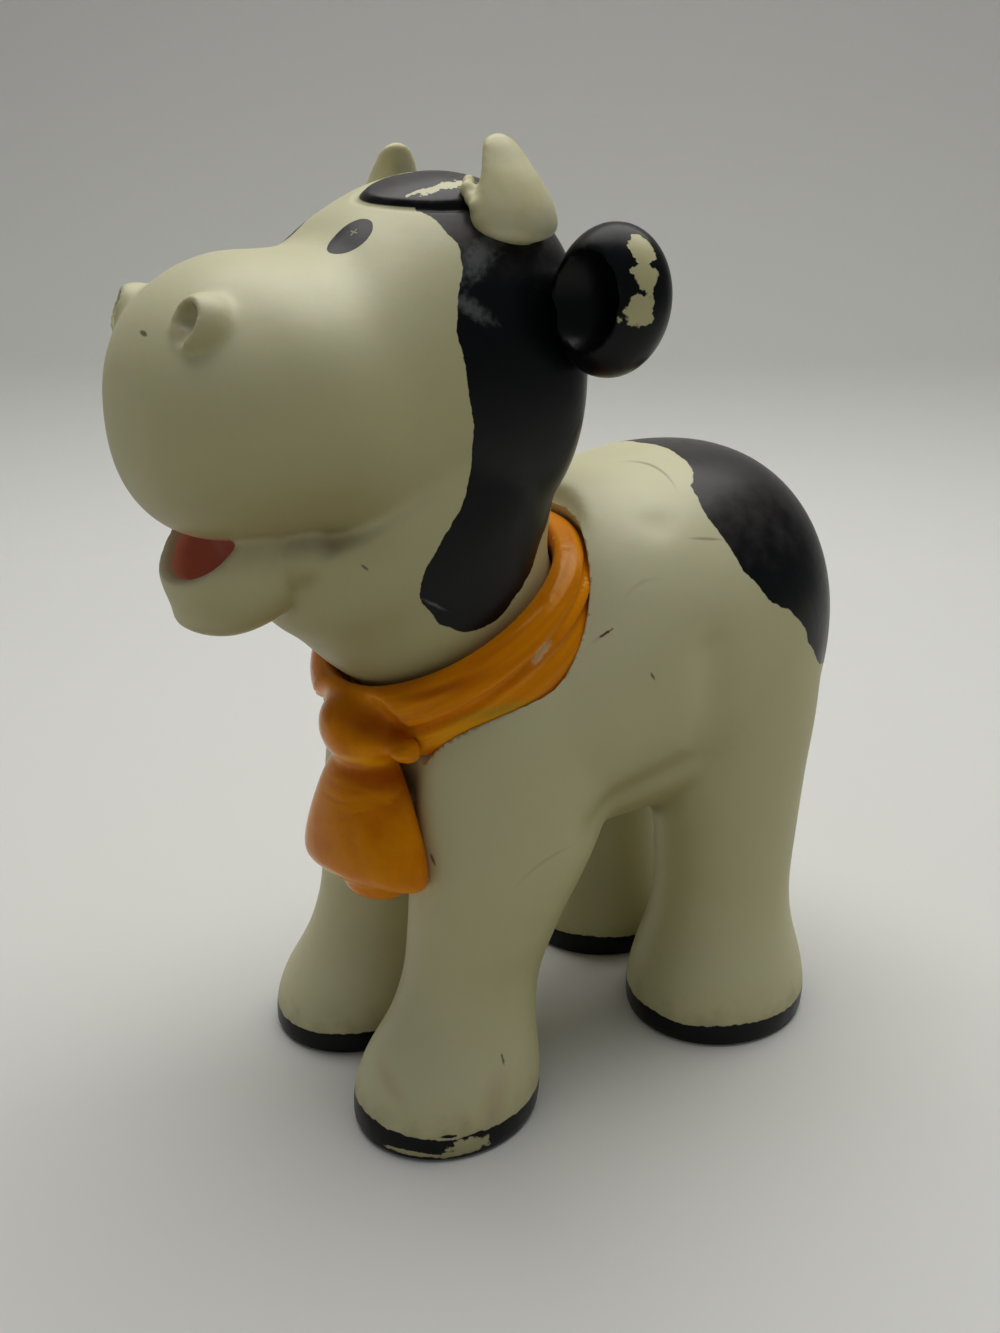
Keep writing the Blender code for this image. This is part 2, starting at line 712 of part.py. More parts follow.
def main():
    for thing in list(bpy.data.objects):
        bpy.data.objects.remove(thing)
    cream = material("cream_vinyl", CREAM, 0.5)
    black = material("black_vinyl", BLACK, 0.4)
    orange = material("orange_vinyl", ORANGE, 0.3)
    pale = material("horn_vinyl", HORN_CREAM, 0.5)
    body = build_body()
    head = build_head()
    space = turning_space()
    boolean(body, space)
    scarf = build_scarf(body)
    boolean(scarf, space)
    seat = scarf_seat()
    boolean(body, seat)
    discard(space, seat)
    tail = build_tail()
    make_room(body, tail)
    horns = [horn("horn_" + word, side) for word, side in (("left", 1), ("right", -1))]
    ears = [ear("ear_" + word, side) for word, side in (("left", 1), ("right", -1))]
    hollow_body(body)
    hollow_head(head)
    make_room(head, *horns, *ears)
    skins = ((cream, (body, head, tail)), (orange, (scarf,)), (pale, horns), (black, ears))
    for skin, things in skins:
        for thing in things:
            finish(thing, skin)
    stand_centred((head, *horns, *ears), (body, scarf, tail))


main()
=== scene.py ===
"""Looks for the toy cow: finer mouldings over the CAD frame, painted and worn as in the photograph.

Each moulding is built from the same sizes as the CAD part, fused at a finer grain, dented and grooved,
and painted through distance attributes that its material turns into crisp edges. The cow faces -Y and
its left side is +X. Metres, +Z up.
"""

import math

import bmesh
import bpy
import numpy as np
from mathutils import Matrix, Vector

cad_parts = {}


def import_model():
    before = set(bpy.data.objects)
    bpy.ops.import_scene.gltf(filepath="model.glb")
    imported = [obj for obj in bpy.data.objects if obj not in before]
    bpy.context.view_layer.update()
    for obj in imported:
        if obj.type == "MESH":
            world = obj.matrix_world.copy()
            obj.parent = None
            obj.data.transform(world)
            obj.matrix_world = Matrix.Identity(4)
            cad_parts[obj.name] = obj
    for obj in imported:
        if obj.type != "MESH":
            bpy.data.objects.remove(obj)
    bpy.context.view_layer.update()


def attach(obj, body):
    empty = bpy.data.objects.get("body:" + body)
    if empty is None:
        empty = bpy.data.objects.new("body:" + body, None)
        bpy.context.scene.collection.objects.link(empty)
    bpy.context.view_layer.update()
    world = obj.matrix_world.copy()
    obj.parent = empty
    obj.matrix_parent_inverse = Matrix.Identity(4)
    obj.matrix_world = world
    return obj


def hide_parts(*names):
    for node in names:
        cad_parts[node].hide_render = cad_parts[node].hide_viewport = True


MM = 0.001
X_AXIS = Vector((1, 0, 0))
UPRIGHT = math.pi / 2


def in_mm(*values):
    """A place, or three sizes, given in millimetres."""
    return Vector([value * MM for value in values])


# Grain of the fused skins, and rounds of smoothing where forms meet
BODY_VOXEL = 0.5 * MM
HEAD_VOXEL = 0.36 * MM
FINE_VOXEL = 0.3 * MM
SCARF_VOXEL = 0.35 * MM
SCOOP_VOXEL = 0.25 * MM
NOSTRIL_VOXEL = 0.15 * MM
BODY_ROUNDS = 24
FLARE_ROUNDS = 12
HEAD_ROUNDS = 30
BUMP_ROUNDS = 5
SCARF_ROUNDS = 6
SMALL_ROUNDS = 4
CUTTER_ROUNDS = 2
AROUND = 64
STEPS = 6

# Where the frame's origin lies from the part's own drawing
CENTRING = in_mm(0, 2.516, 0)

# Torso
CHEST_Y = -21 * MM
RUMP_Y = 34.2 * MM
BARREL_HALF_WIDTH = 19 * MM
BACK_HEIGHT = 67 * MM
BELLY_HEIGHT = 26 * MM
BARREL_FULLNESS = 2.2
TORSO_SHARES = (
    (0, 0.45, 0.36, 0.06), (0.017, 0.54, 0.22, 0.4), (0.07, 0.62, 0.09, 0.7),
    (0.17, 0.71, 0.02, 0.89), (0.29, 0.82, 0, 0.97), (0.4, 0.92, 0, 0.99),
    (0.52, 0.975, 0, 1), (0.66, 1, 0, 0.99), (0.79, 0.99, 0.02, 0.94),
    (0.89, 0.925, 0.08, 0.82), (0.96, 0.81, 0.18, 0.62), (0.992, 0.68, 0.3, 0.36),
    (1, 0.57, 0.42, 0.08),
)

# Legs
FOOT_NARROWING = 0.9
FRONT_FOOT_X = 10.3 * MM
FRONT_FOOT_Y = -19 * MM
FRONT_FOOT_HALF = 10.4 * MM
FRONT_LEG_HEIGHT = 52 * MM
SHOULDER_SHIFT = 9 * MM
REAR_FOOT_X = 11.1 * MM
REAR_FOOT_Y = 18.7 * MM
REAR_FOOT_HALF = 11.3 * MM
REAR_LEG_HEIGHT = 54 * MM
HAUNCH_SHIFT = 2.5 * MM
SOLE_EDGE = 0.7 * MM
SOLE_ROUNDNESS = 0.98
FRONT_LEG_SHARES = (
    (-0.14, 0.95, 0.95, 0), (0, 0.98, 0.98, 0), (0.046, 1, 1, 0.02),
    (0.115, 0.95, 0.94, 0.08), (0.21, 0.79, 0.78, 0.24), (0.31, 0.73, 0.72, 0.38),
    (0.42, 0.8, 0.8, 0.56), (0.56, 0.86, 1, 0.84), (0.71, 0.84, 1.15, 1.1),
    (0.865, 0.76, 1.12, 1.25), (1, 0.48, 0.75, 1.3),
)
REAR_LEG_SHARES = (
    (-0.14, 0.95, 0.95, 0), (0, 0.98, 0.98, 0), (0.052, 1, 1, 0), (0.13, 0.94, 0.92, 0),
    (0.22, 0.81, 0.79, 0), (0.315, 0.76, 0.73, 0), (0.425, 0.77, 0.76, 0),
    (0.575, 0.78, 0.82, 0.05), (0.72, 0.77, 0.87, 0.3), (0.87, 0.68, 0.84, 0.5),
    (1, 0.42, 0.55, 0.5),
)

# Neck
NECK_CENTRE = in_mm(0, -11.2, 50.6)
NECK_LEAN = math.radians(31)
NECK_RADIUS = 11.9 * MM
NECK_DEPTH = 16 * MM
NECK_TOP = 3 * MM
SEAT_GAP = 0.3 * MM
TURN_GAP = 0.4 * MM

# Head
NOSE_Y = -44 * MM
NAPE_Y = -0.5 * MM
HEAD_BASE = 59 * MM
HEAD_TOP = 94.8 * MM
HEAD_HALF_WIDTH = 15.6 * MM
HEAD_FULLNESS = 2.25
HEAD_SHARES = (
    (0, 0.377, 0.46, 0.13), (0.014, 0.26, 0.58, 0.45), (0.062, 0.173, 0.687, 0.72),
    (0.138, 0.131, 0.765, 0.885), (0.23, 0.123, 0.81, 0.975), (0.322, 0.123, 0.816, 1),
    (0.402, 0.084, 0.83, 0.985), (0.483, 0.028, 0.905, 0.96), (0.598, 0, 0.975, 0.96),
    (0.736, 0.014, 1, 0.96), (0.874, 0.07, 0.944, 0.91), (0.943, 0.182, 0.838, 0.73),
    (0.989, 0.321, 0.698, 0.42), (1, 0.461, 0.573, 0.13),
)
THROAT_RISE = 20 * MM
THROAT_SHIFT = 3 * MM
THROAT_SHARES = (
    (-0.05, 0, 1, 1), (0, 0, 1, 1), (0.15, 0, 1.03, 1.03), (0.3, 0.1, 1.08, 1.14),
    (0.5, 0.5, 1.14, 1.32), (0.7, 0.67, 1.19, 1.47), (1, 1, 1.21, 1.47),
)
# The jaw is a cup whose rim rises to the corners of the mouth: place along, height, half sizes
JAW_ROWS_MM = (
    (-37.1, 54.9, 3.6, 2), (-36.6, 55.5, 5.4, 3.8), (-35.4, 56.8, 6.9, 5.2),
    (-35.2, 58.4, 7.8, 5.9), (-35.3, 60, 8.2, 6.1), (-35.2, 62, 8.3, 6),
    (-34.8, 64, 8.2, 5.8), (-34.4, 66, 7.6, 5.2),
)
MOUTH_CENTRE = in_mm(0, -35.4, 63.6)
MOUTH_HALF = in_mm(6.1, 5.5, 5.3)
RIM_CENTRE = in_mm(0, -39.4, 66.2)
RIM_HALF = in_mm(8.2, 6.2, 6.2)
RIM_TURN = math.radians(-28)
CHIN_FILL = in_mm(5, -30.4, 62.4)
CHIN_FILL_HALF = in_mm(4.2, 4, 3.4)
FORELOCK = ((4.7, -18.5, 94), (8.4, -12.8, 93.4), 2.6, 0)
FORELOCK_THICK = 0.38 * MM
FORELOCK_EDGE = 0.16
# A moat round the forelock: where it runs, its width and its depth, in shares of the forelock's own
MOAT_AT = 1.08
MOAT_WIDE = 0.06
MOAT_DEEP = 0.5
NOSTRIL = in_mm(8.7, -38.8, 82.5)
NOSTRIL_HALF = 2.8 * MM
NOSTRIL_HOLE = 1.65 * MM
NOSTRIL_DISH = 1 * MM
NOSTRIL_AIM_SHARES = Vector((0.21, -0.84, 0.34))
NOSTRIL_DISH_SHARES = Vector((0.1, -0.95, -0.14))
NOSTRIL_LUMP = in_mm(8.6, -38.3, 82.3)
NOSTRIL_LUMP_REACH = 0.5 * MM
NOSTRIL_LUMP_HEIGHT = 0.3 * MM

# Scarf
FOLD_RADIUS = 13.6 * MM
FOLD_THICK = 1.6 * MM
FOLD_TALL = 2.4 * MM
FOLD_RISE = 1.8 * MM
FOLD_OUT = 1 * MM
SCARF_GAP = 0.1 * MM
SEAT_REACH = FOLD_RADIUS + FOLD_THICK + FOLD_OUT + SCARF_GAP
SEAT_BASE = -FOLD_RISE - FOLD_TALL - SCARF_GAP
SEAT_BEND = 3.4 * MM
SEAT_TOP = 12 * MM
SEAT_FLARE = 12 * MM
# Where the line between the two folds runs, from the front round each side to the back, up the neck
FOLD_LINE_TURN = (0, 0.8, 1.6, 2.4, math.pi)
FOLD_LINE_UP_MM = (-0.6, 0.2, 1.2, 1.9, 1.9)
# Relief along that line: how far above it, half the width, and the height
FOLD_RELIEF_MM = (
    (0, 0.38, -0.5),
    (-0.8, 0.4, 0.26),
    (2, 0.3, -0.16),
)
# The ring widens from its inner face outwards, by less towards its top
WIDEN_FROM = -0.3
WIDEN_LEAST = 0.4
WIDEN_TOP_SHARE = 1.4
WIDEN_FADE = 4 * MM
# Where the ring is free of the knot and of the tails
KNOT_CLEAR = 1.15
KNOT_BLEND = 0.3
RING_LOW = -5 * MM
KNOT_HOLLOW = in_mm(6.6, -22.8, 45)
KNOT_HOLLOW_REACH = 2 * MM
KNOT_HOLLOW_DEEP = 0.9 * MM
KNOT_CENTRE = in_mm(2.8, -23.6, 42.8)
KNOT_HALF = in_mm(5.4, 4.2, 4.2)
FLAP = in_mm(8.9, -22.4, 42.3)
FLAP_HALF = in_mm(2.6, 1.6, 1.4)
TAILS_TURN = math.radians(14)
TAILS_ROLL = math.radians(-6)
TAILS_TOP_HALF = 3.4 * MM
TAILS_HEM_HALF = 8.9 * MM
TAILS_DROP = 13.8 * MM
TAILS_THICK = 3.4 * MM
UNDER_WIDTH_SHARE = 0.4
UNDER_LENGTH_SHARE = 1.17
UNDER_BACK = 1.3 * MM
TAILS_SHARES = (
    (0, 0, 0.7, 0), (0.25, 0.45, 0.8, 0.2), (0.6, 0.85, 0.96, 0.4), (0.84, 1, 1, 0.5),
    (0.96, 0.9, 0.8, 0.45), (1, 0.6, 0.5, 0.4),
)

# Horns
HORN_ROOT = in_mm(10.8, -11, 90)
HORN_SPLAY = math.radians(20)
HORN_LENGTH = 6.6 * MM
HORN_RADIUS = 4.2 * MM
HORN_FLATNESS = 0.72
HORN_TIP_SWING = in_mm(-3.8, -0.6, 0)
HORN_SHARES = (
    (-0.45, 0.46, 0), (-0.2, 0.48, 0), (-0.05, 0.9, 0), (0.05, 1, 0), (0.17, 0.97, 0.02),
    (0.36, 0.86, 0.12), (0.58, 0.68, 0.36), (0.78, 0.51, 0.7), (0.92, 0.36, 0.92),
    (1, 0.12, 0.98),
)
# Crumbs of glue at the left horn's foot: middle and reach
HORN_CRUMBS_MM = (
    ((8.9, -14.5, 93), 0.75),
    ((9.7, -14.7, 92.2), 0.6),
    ((10.6, -14.9, 91.7), 0.55),
    ((8.1, -13.9, 93.7), 0.6),
)

# Ears
EAR_CENTRE = in_mm(17, -4.8, 83.8)
EAR_HALF = in_mm(5.6, 4.5, 6.7)
EAR_TURN = math.radians(20)
EAR_TILT = math.radians(10)
EAR_CUP_SHIFT = -0.9 * MM
EAR_CUP_HALF = in_mm(4, 3.4, 4.5)
EAR_PEG_RADIUS = 2.8 * MM
EAR_PEG_DROP = 1 * MM
EAR_PEG_LENGTH = 8 * MM
# How much of the black's dust and painted sheen the ears take
EAR_DUST_AND_SHEEN = 0.25

# Tail, and the height below which its tuft is black
TAIL_TOP = 56 * MM
TAIL_LENGTH = 22 * MM
TAIL_RADIUS = 1.5 * MM
TUFT_MM = 41
TAIL_SHARES = (
    (0, 1, -3.4, 1), (0, 1, -1.6, 1), (0.01, 1, -0.2, 0.85), (0.06, 1, 0.9, 0.5),
    (0.16, 0.96, 1.4, 0.1), (0.34, 0.92, 1.55, 0), (0.54, 0.92, 1.6, 0), (0.7, 1.1, 1.6, 0),
    (0.84, 1.6, 1.6, 0), (0.95, 1.2, 1.5, 0), (1, 0.3, 1.4, 0),
)

# Paint: edges as outlines in y and z, on both sides of the head and body
FACE_EDGE_MM = (
    (-14.8, 104), (-14.8, 96), (-14.8, 88.1), (-15.5, 85),
    (-16.2, 81.8), (-15.9, 77.7), (-15.3, 74.3), (-15.2, 69.8), (-16.8, 65.5), (-19, 62),
    (-19.6, 59.2), (-19, 57.5), (-16.8, 55.2), (-14.2, 54.1), (-11, 55.3), (-8.6, 57.3),
    (-5.5, 61), (-2, 64.5), (8, 66), (8, 104),
)
# Across the brow the edge swings back from the middle
BROW_EDGE_ACROSS_MM = (-16, -10, -6, -3, 3, 5.5, 7.2, 8.6, 10.1, 11.9, 16)
BROW_EDGE_ALONG_MM = (-10, -9.5, -10.5, -12, -13, -14.6, -16.6, -16.3, -15.5, -14.8, -14.8)
# The brow's edge takes over from the face's above this height, over this much
BROW_LOW_MM = 86
BROW_BLEND_MM = 4
RUMP_EDGE_MM = (
    (17, 72), (16.8, 66.6), (14, 64), (14.4, 60.1), (17.7, 54.4), (23.6, 50.2),
    (26.3, 46.2), (30, 43.5), (38, 42), (46, 42), (46, 72),
)
EYE = in_mm(6.2, -22.1, 89.2)
EYE_NORMAL = Vector((0.28, -0.57, 0.77))
EYE_SLOPE = Vector((0.08, -0.81, -0.57))
EYE_LONG = 2.35 * MM
EYE_SHORT = 1.85 * MM
GLINT = in_mm(6.1, -21.6, 89.5)
GLINT_REACH_MM = (0.5, 0.34)
GLINT_THINNESS = 5.72
GLINT_STRENGTH = 0.4
HOOF_BAND_MM = 2.9
MOUTH_PAINT = (-0.1, -0.08)
MOUTH_BLUSH = (-0.4, -0.05)
PALATE_MM = (62.6, 63.4)
# Where the ears' black paint has rubbed off: middle and reach
EAR_WEAR_MM = (
    ((21.6, -2.3, 88.6), 1.5),
    ((22.3, -2.6, 86), 1.2),
    ((21.6, -3.1, 83.4), 1.4),
)

# Dents and lines of the moulding
VALLEY_MM = (
    (17.2, -2.3, 32.6),
    (16.3, 3.9, 34.6),
    (17.2, 11.2, 36.6),
    (18.8, 11.3, 43.9),
    (18.8, 10.9, 48.9),
)
VALLEY_WIDE = 2.8 * MM
VALLEY_DEEP = 0.75 * MM
# Soft round places on the back: middle, reach, and height
DIMPLES_MM = (
    (12.2, 7.9, 61.4, 3.6, 0.22),
    (12.2, 7.9, 61.4, 1.9, -0.34),
    (7, 17, 66, 6, 0.2),
)

# Strokes, for marks of wear and of painted light and shade: both ends, half the width, the bend to the left
# on the way, all in millimetres
STROKE_DEPTH = 2 * MM
# Painted shade along creases on the back
BACK_CREASE_SHADES = (
    ((3.1, 11.6, 66), (8.8, 12.7, 64.5), 0.16, 0.8),
    ((14.2, 11.2, 60), (14.9, 14, 59.7), 0.15, 0),
)
RED_SCRATCHES = (((16.1, -1.6, 52.4), (16.2, -0.5, 52.9), 0.13, 0),)
BROWN_RUBS = (
    ((16, -2.4, 52), (16.1, -1.6, 52.4), 0.22, 0),
    ((18.2, -14.9, 7), (18.9, -15.9, 4.6), 1.1, 0),
    ((13, -26, 9), (15, -25, 7), 0.8, 0),
)
BODY_TICKS = (
    ((17.9, -14.2, 9.9), (18.2, -14.1, 8.9), 0.11, 0),
    ((12.2, -18.8, 31.7), (12.5, -18.6, 30.9), 0.14, 0),
    ((18.4, 3, 48.3), (18.6, 3.2, 47.9), 0.14, 0),
)
# Where the near front hoof's paint has rubbed off, and where some has spilled above it
HOOF_WEAR = (
    ((14, -25.9, 0.95), (18.1, -22, 0.75), 0.24, 0),
    ((18.1, -22, 0.75), (19.6, -17.4, 1.1), 0.34, 0),
    ((19.1, -20.3, 1.8), (19.6, -17.6, 1.7), 0.75, 0),
)
HOOF_SPILLS = (
    ((18.3, -21.8, 3.2), (18.9, -20.4, 3.2), 0.16, 0),
    ((19.4, -18.2, 2.9), (19.5, -17.6, 3), 0.14, 0),
)
FAINT_LINES = (
    ((18, -11.5, 29.8), (18.3, -6.9, 31.7), 0.16, 0.3),
    ((17.6, 1, 57), (17.2, 4.5, 57.6), 0.2, 0.4),
)
# Painted shade in the fold between jaw and cheek
CHEEK_FOLD_SHADES = (((4.5, -33.5, 62.6), (9, -25.5, 63.2), 1.6, 0.3),)
# Small dark marks on the nose and cheek, and painted shade in the crevice at a nostril's rim
NOSE_MARKS_AND_CREVICE_SHADE = (
    ((2.9, -39.7, 81.9), (3.7, -39.6, 81.7), 0.2, 0),
    ((6.4, -37.3, 84.1), (6.8, -36.2, 84.8), 0.16, 0.1),
    ((11.3, -24.6, 61.8), (11.6, -24.3, 61.5), 0.12, 0),
)
FORELOCK_CHIPS = (
    ((6.6, -16.5, 92.4), (7.6, -15.2, 93.3), 0.2, 0.1),
    ((7.6, -15.4, 92.8), (8.2, -13.8, 93.9), 0.42, 0.1),
    ((8.1, -14, 93.6), (8.6, -11.7, 94.1), 0.5, 0.1),
)
# Scuffs on the head's black patch, and a painted sheen where light falls on its top edge
PATCH_SCUFFS_AND_SHEEN = (
    ((12.8, -14.1, 86.6), (12.6, -11.8, 89.4), 0.9, 0),
    ((12.9, -15.6, 84), (13.4, -13.4, 82.6), 0.6, 0),
    ((12.6, -18.9, 57.9), (12.6, -17.2, 56.9), 0.13, 0),
)
SCARF_CHIPS = (((14.8, -8.7, 50.7), (14.9, -7.1, 52.3), 0.42, 0),)
# Painted shade: in the knot's hollow, under the knot and along the crease between the folds
SCARF_PAINTED_SHADES = (
    ((5.6, -23.8, 45.4), (8.2, -20.8, 44.2), 1.5, 0),
    ((5, -24.4, 39), (9.2, -20.2, 39), 1.1, 0),
    ((9.4, -18.8, 47.6), (12.6, -14, 49.6), 0.5, -0.3),
)
# Painted highlights: along the ring's ridge, down the tails and along a fold under the knot
SCARF_PAINTED_LIGHTS = (
    ((11, -19, 43.2), (15.5, -10.5, 46.6), 0.7, 0),
    ((0.6, -27, 37), (0, -29.5, 28.5), 0.8, 0.2),
    ((3.2, -26.6, 41), (8.6, -21, 40.6), 0.35, 0),
)
SCARF_GREENS = (((13.4, -15, 45.9), (16.6, -10.4, 47.4), 0.45, 0),)

# Finishes, as linear colours
RUB_BROWN = (0.42, 0.27, 0.16, 1)
SCRATCH_RED = (0.14, 0.035, 0.03, 1)
TICK_DARK = (0.09, 0.075, 0.04, 1)
# Grey on black: scuffs and specks, and a painted sheen on the head patch
BLACK_SCUFF_AND_SHEEN = (0.12, 0.125, 0.125, 1)
BLACK_SHEEN = 0.2
ORANGE_DARK = (0.36, 0.06, 0.002, 1)
SCARF_GREEN = (0.32, 0.3, 0.03, 1)
CHIP_CREAM = (0.72, 0.55, 0.3, 1)
CREAM = (0.62, 0.6, 0.39, 1)
CREAM_DEEP = (0.59, 0.565, 0.355, 1)
# Painted shade: cream's darker tones on the sides and undersides
CREAM_SIDE_SHADE = (0.58, 0.54, 0.27, 1)
CREAM_UNDER_SHADE = (0.34, 0.295, 0.13, 1)
# Brownish dark: dirt in specks, darkening towards the feet and along faint lines, and painted shade in
# creases, folds and nostrils
GRIME_AND_SHADE = (0.23, 0.17, 0.085, 1)
BLACK = (0.0012, 0.0016, 0.0026, 1)
# Black's paler tone on top: dust, and a painted sheen of the light from above
BLACK_DUST_AND_SHEEN = (0.042, 0.038, 0.037, 1)
HORN_CREAM = (0.68, 0.65, 0.41, 1)
HORN_DEEP = (0.62, 0.57, 0.31, 1)
ORANGE = (0.84, 0.285, 0.001, 1)
ORANGE_DEEP = (0.66, 0.175, 0.001, 1)
ORANGE_PALE = (0.92, 0.43, 0.002, 1)
MOUTH_RED = (0.95, 0.4, 0.28, 1)
MOUTH_PINK = (0.6, 0.34, 0.2, 1)
CREAM_ROUGHNESS = 0.46
CREAM_SHEEN = 0.5
BLACK_ROUGHNESS = 0.33
SCARF_ROUGHNESS = 0.2
ROUGH_MOTTLE = 0.04
PAINT_THICK_MM = 0.03
VINYL = {"IOR": 1.5, "Subsurface_Weight": 0.08, "Subsurface_Scale": 0.001}
GLOSSY = {"IOR": 1.32, "Specular_Tint": (1, 0.72, 0.3, 1)}

# Painted shade: cream turns to these darker tones as the skin turns down, how far up it faces at the start
# and at the end
CREAM_SHADE_TURNS = (
    (0.8, -0.3, CREAM_SIDE_SHADE),
    (0.15, -0.7, CREAM_UNDER_SHADE),
)
# Black turns paler as the skin turns up: dust, and a painted sheen of the light from above
DUST_AND_SHEEN_MOTTLE = 0.16
DUST_AND_SHEEN_TURN = (0.3, 1)
# Specks: width in millimetres, where they begin and where they are full, strength
CREAM_SPECKS = (0.8, 0.95, 1.4, 0.35)
BLACK_SPECKS = (0.7, 0.9, 1.5, 0.25)
# Darker, blotchy colour towards the feet
SMEAR_FADE = -0.4
SMEAR_RANGE = (-2.2, -0.4)
SMEAR_STRENGTH = 0.3

# Noises: in each row the lumps' width in millimetres, detail, and height
RELIEF_NOISE = ((7, 1, 0.03), (0.9, 2, 0.004))
BODY_EDGE_NOISE = ((3.5, 1, 0.35), (0.7, 2, 0.08))
HEAD_EDGE_NOISE = ((3, 1, 0.3), (0.6, 2, 0.07))
HOOF_EDGE_NOISE = ((11, 1, 0.4), (0.9, 3, 0.14))
MOUTH_EDGE_NOISE = ((1.2, 2, 0.012),)
EAR_EDGE_NOISE = ((1.6, 3, 0.7),)
TUFT_EDGE_NOISE = ((1, 2, 0.8),)
SMEAR_NOISE = ((2.2, 4, 0.9),)
FRAY_NOISE = ((0.8, 3, 0.5),)
BODY_CHIP_NOISE = ((0.5, 2, 0.35),)
HEAD_CHIP_NOISE = ((0.5, 3, 0.5),)
SCARF_CHIP_NOISE = ((0.6, 3, 0.3),)
HORN_ROUGH_NOISE = ((1.2, 3, 0.05),)
TABLE_NOISE = ((3, 2, 0.01),)

# Layers of wear, and of painted light and shade, over the paint: strokes, colour, strength, softness of the
# edge
BODY_WEAR_AND_SHADE = (
    (BROWN_RUBS, RUB_BROWN, 0.3, 0.7),
    (FAINT_LINES, GRIME_AND_SHADE, 0.22, 0.8),
    (BACK_CREASE_SHADES, GRIME_AND_SHADE, 0.6, 0.7),
)
BODY_CHIPS = (
    (RED_SCRATCHES, SCRATCH_RED, 1, 0.3),
    (BODY_TICKS, TICK_DARK, 0.85, 0.4),
)
HEAD_WEAR_AND_SHADE = (
    (NOSE_MARKS_AND_CREVICE_SHADE, TICK_DARK, 0.85, 0.3),
    (CHEEK_FOLD_SHADES, GRIME_AND_SHADE, 0.4, 0.95),
)
SCARF_LIGHT_SHADE_AND_TINT = (
    (SCARF_PAINTED_SHADES, ORANGE_DARK, 0.7, 0.8),
    (SCARF_PAINTED_LIGHTS, ORANGE_PALE, 0.55, 0.9),
    (SCARF_GREENS, SCARF_GREEN, 0.5, 0.9),
)
SCARF_CHIPPED = ((SCARF_CHIPS, CHIP_CREAM, 0.7, 0.3),)

# Table, the wall behind it, and the light
STAGE_HALF = 1.2
STAGE_STEPS = 16
STAGE_CURVE = 0.05
WALL_BACK = 0.25
WALL_FROM_MM = 260
STAGE_ROUGHNESS = 0.7
TABLE_COLOUR = (0.74, 0.74, 0.715, 1)
# Painted shade: the backdrop darkens towards this grey up the wall
WALL_SHADE_COLOUR = (0.325, 0.318, 0.305, 1)
ROOM_COLOUR = (0.95, 0.98, 1, 1)
ROOM_STRENGTH = 0.16
KEY_PLACE = Vector((0.02, 0.15, 0.42))
KEY_AIM = Vector((0, 0.04, 0.02))
KEY_COLOUR = (1, 0.99, 0.96)
KEY_SIZE = 0.55
KEY_WATTS = 2.35

# Camera
CAMERA_PLACE = in_mm(107.8, -71.9, 91.2)
CAMERA_AZIMUTH = math.radians(57.4)
CAMERA_PITCH = math.radians(20)
FOCAL_SHARE = 1250 / 1333
SENSOR = 36
NEAREST = 0.01


def seen_from():
    """The way from the object to the front left, where the marks of wear and of painted light and shade are
    seen from.
    """
    way = Vector((math.sin(CAMERA_AZIMUTH), -math.cos(CAMERA_AZIMUTH), 0)) * math.cos(CAMERA_PITCH)
    way.z = math.sin(CAMERA_PITCH)
    return way


# Meshes
def add_object(name, bm):
    bmesh.ops.recalc_face_normals(bm, faces=bm.faces)
    mesh = bpy.data.meshes.new(name)
    bm.to_mesh(mesh)
    bm.free()
    made = bpy.data.objects.new(name, mesh)
    bpy.context.scene.collection.objects.link(made)
    return made


def discard(*things):
    for thing in things:
        bpy.data.objects.remove(thing)


def between(rows, step, steps):
    """A smooth row between rows[1] and rows[2], on Catmull and Rom's spline."""
    t = step / steps
    made = []
    for p, q, r, s in zip(*rows):
        curve = 2 * q + (r - p) * t + (2 * p - 5 * q + 4 * r - s) * t**2
        made.append((curve + (3 * q - p - 3 * r + s) * t**3) / 2)
    return tuple(made)


def smooth_rows(rows, steps):
    padded = [rows[0], *rows, rows[-1]]
    made = []
    for i in range(len(rows) - 1):
        made += [between(padded[i : i + 4], step, steps) for step in range(steps)]
    return [*made, rows[-1]]


def fuller(value, power):
    """Pushes a circle function out towards its corners, for powers above 2."""
    return math.copysign(abs(value) ** (2 / power), value)


def bridge(bm, low, high):
    """Joins two closed rings of points by faces."""
    for k in range(len(low)):
        after = (k + 1) % len(low)
        bm.faces.new((low[k], low[after], high[after], high[k]))


def loft(bm, rows, steps=STEPS, power=2):
    """Joins oval sections. A row: x, y, z, half width in X, half size across it, its lean."""
    rings = []
    for x, y, z, wide, deep, lean in smooth_rows(rows, steps):
        across = Vector((0, math.cos(lean), math.sin(lean)))
        ring = []
        for k in range(AROUND):
            turn = math.tau * k / AROUND
            out = X_AXIS * wide * fuller(math.cos(turn), power)
            out += across * deep * fuller(math.sin(turn), power)
            ring.append(bm.verts.new(Vector((x, y, z)) + out))
        rings.append(ring)
    for low, high in zip(rings, rings[1:]):
        bridge(bm, low, high)
    bm.faces.new(rings[0])
    bm.faces.new(rings[-1])


def ellipsoid(bm, centre, half, turn=None):
    frame = Matrix.Translation(centre) @ (turn or Matrix()) @ Matrix.Diagonal((*half, 1))
    bmesh.ops.create_uvsphere(bm, u_segments=AROUND, v_segments=AROUND // 2, radius=1, matrix=frame)


def settle(thing):
    """Replaces the object's mesh by what its modifiers make of it."""
    graph = bpy.context.evaluated_depsgraph_get()
    made = bpy.data.meshes.new_from_object(thing.evaluated_get(graph))
    thing.modifiers.clear()
    thing.data = made
    return thing


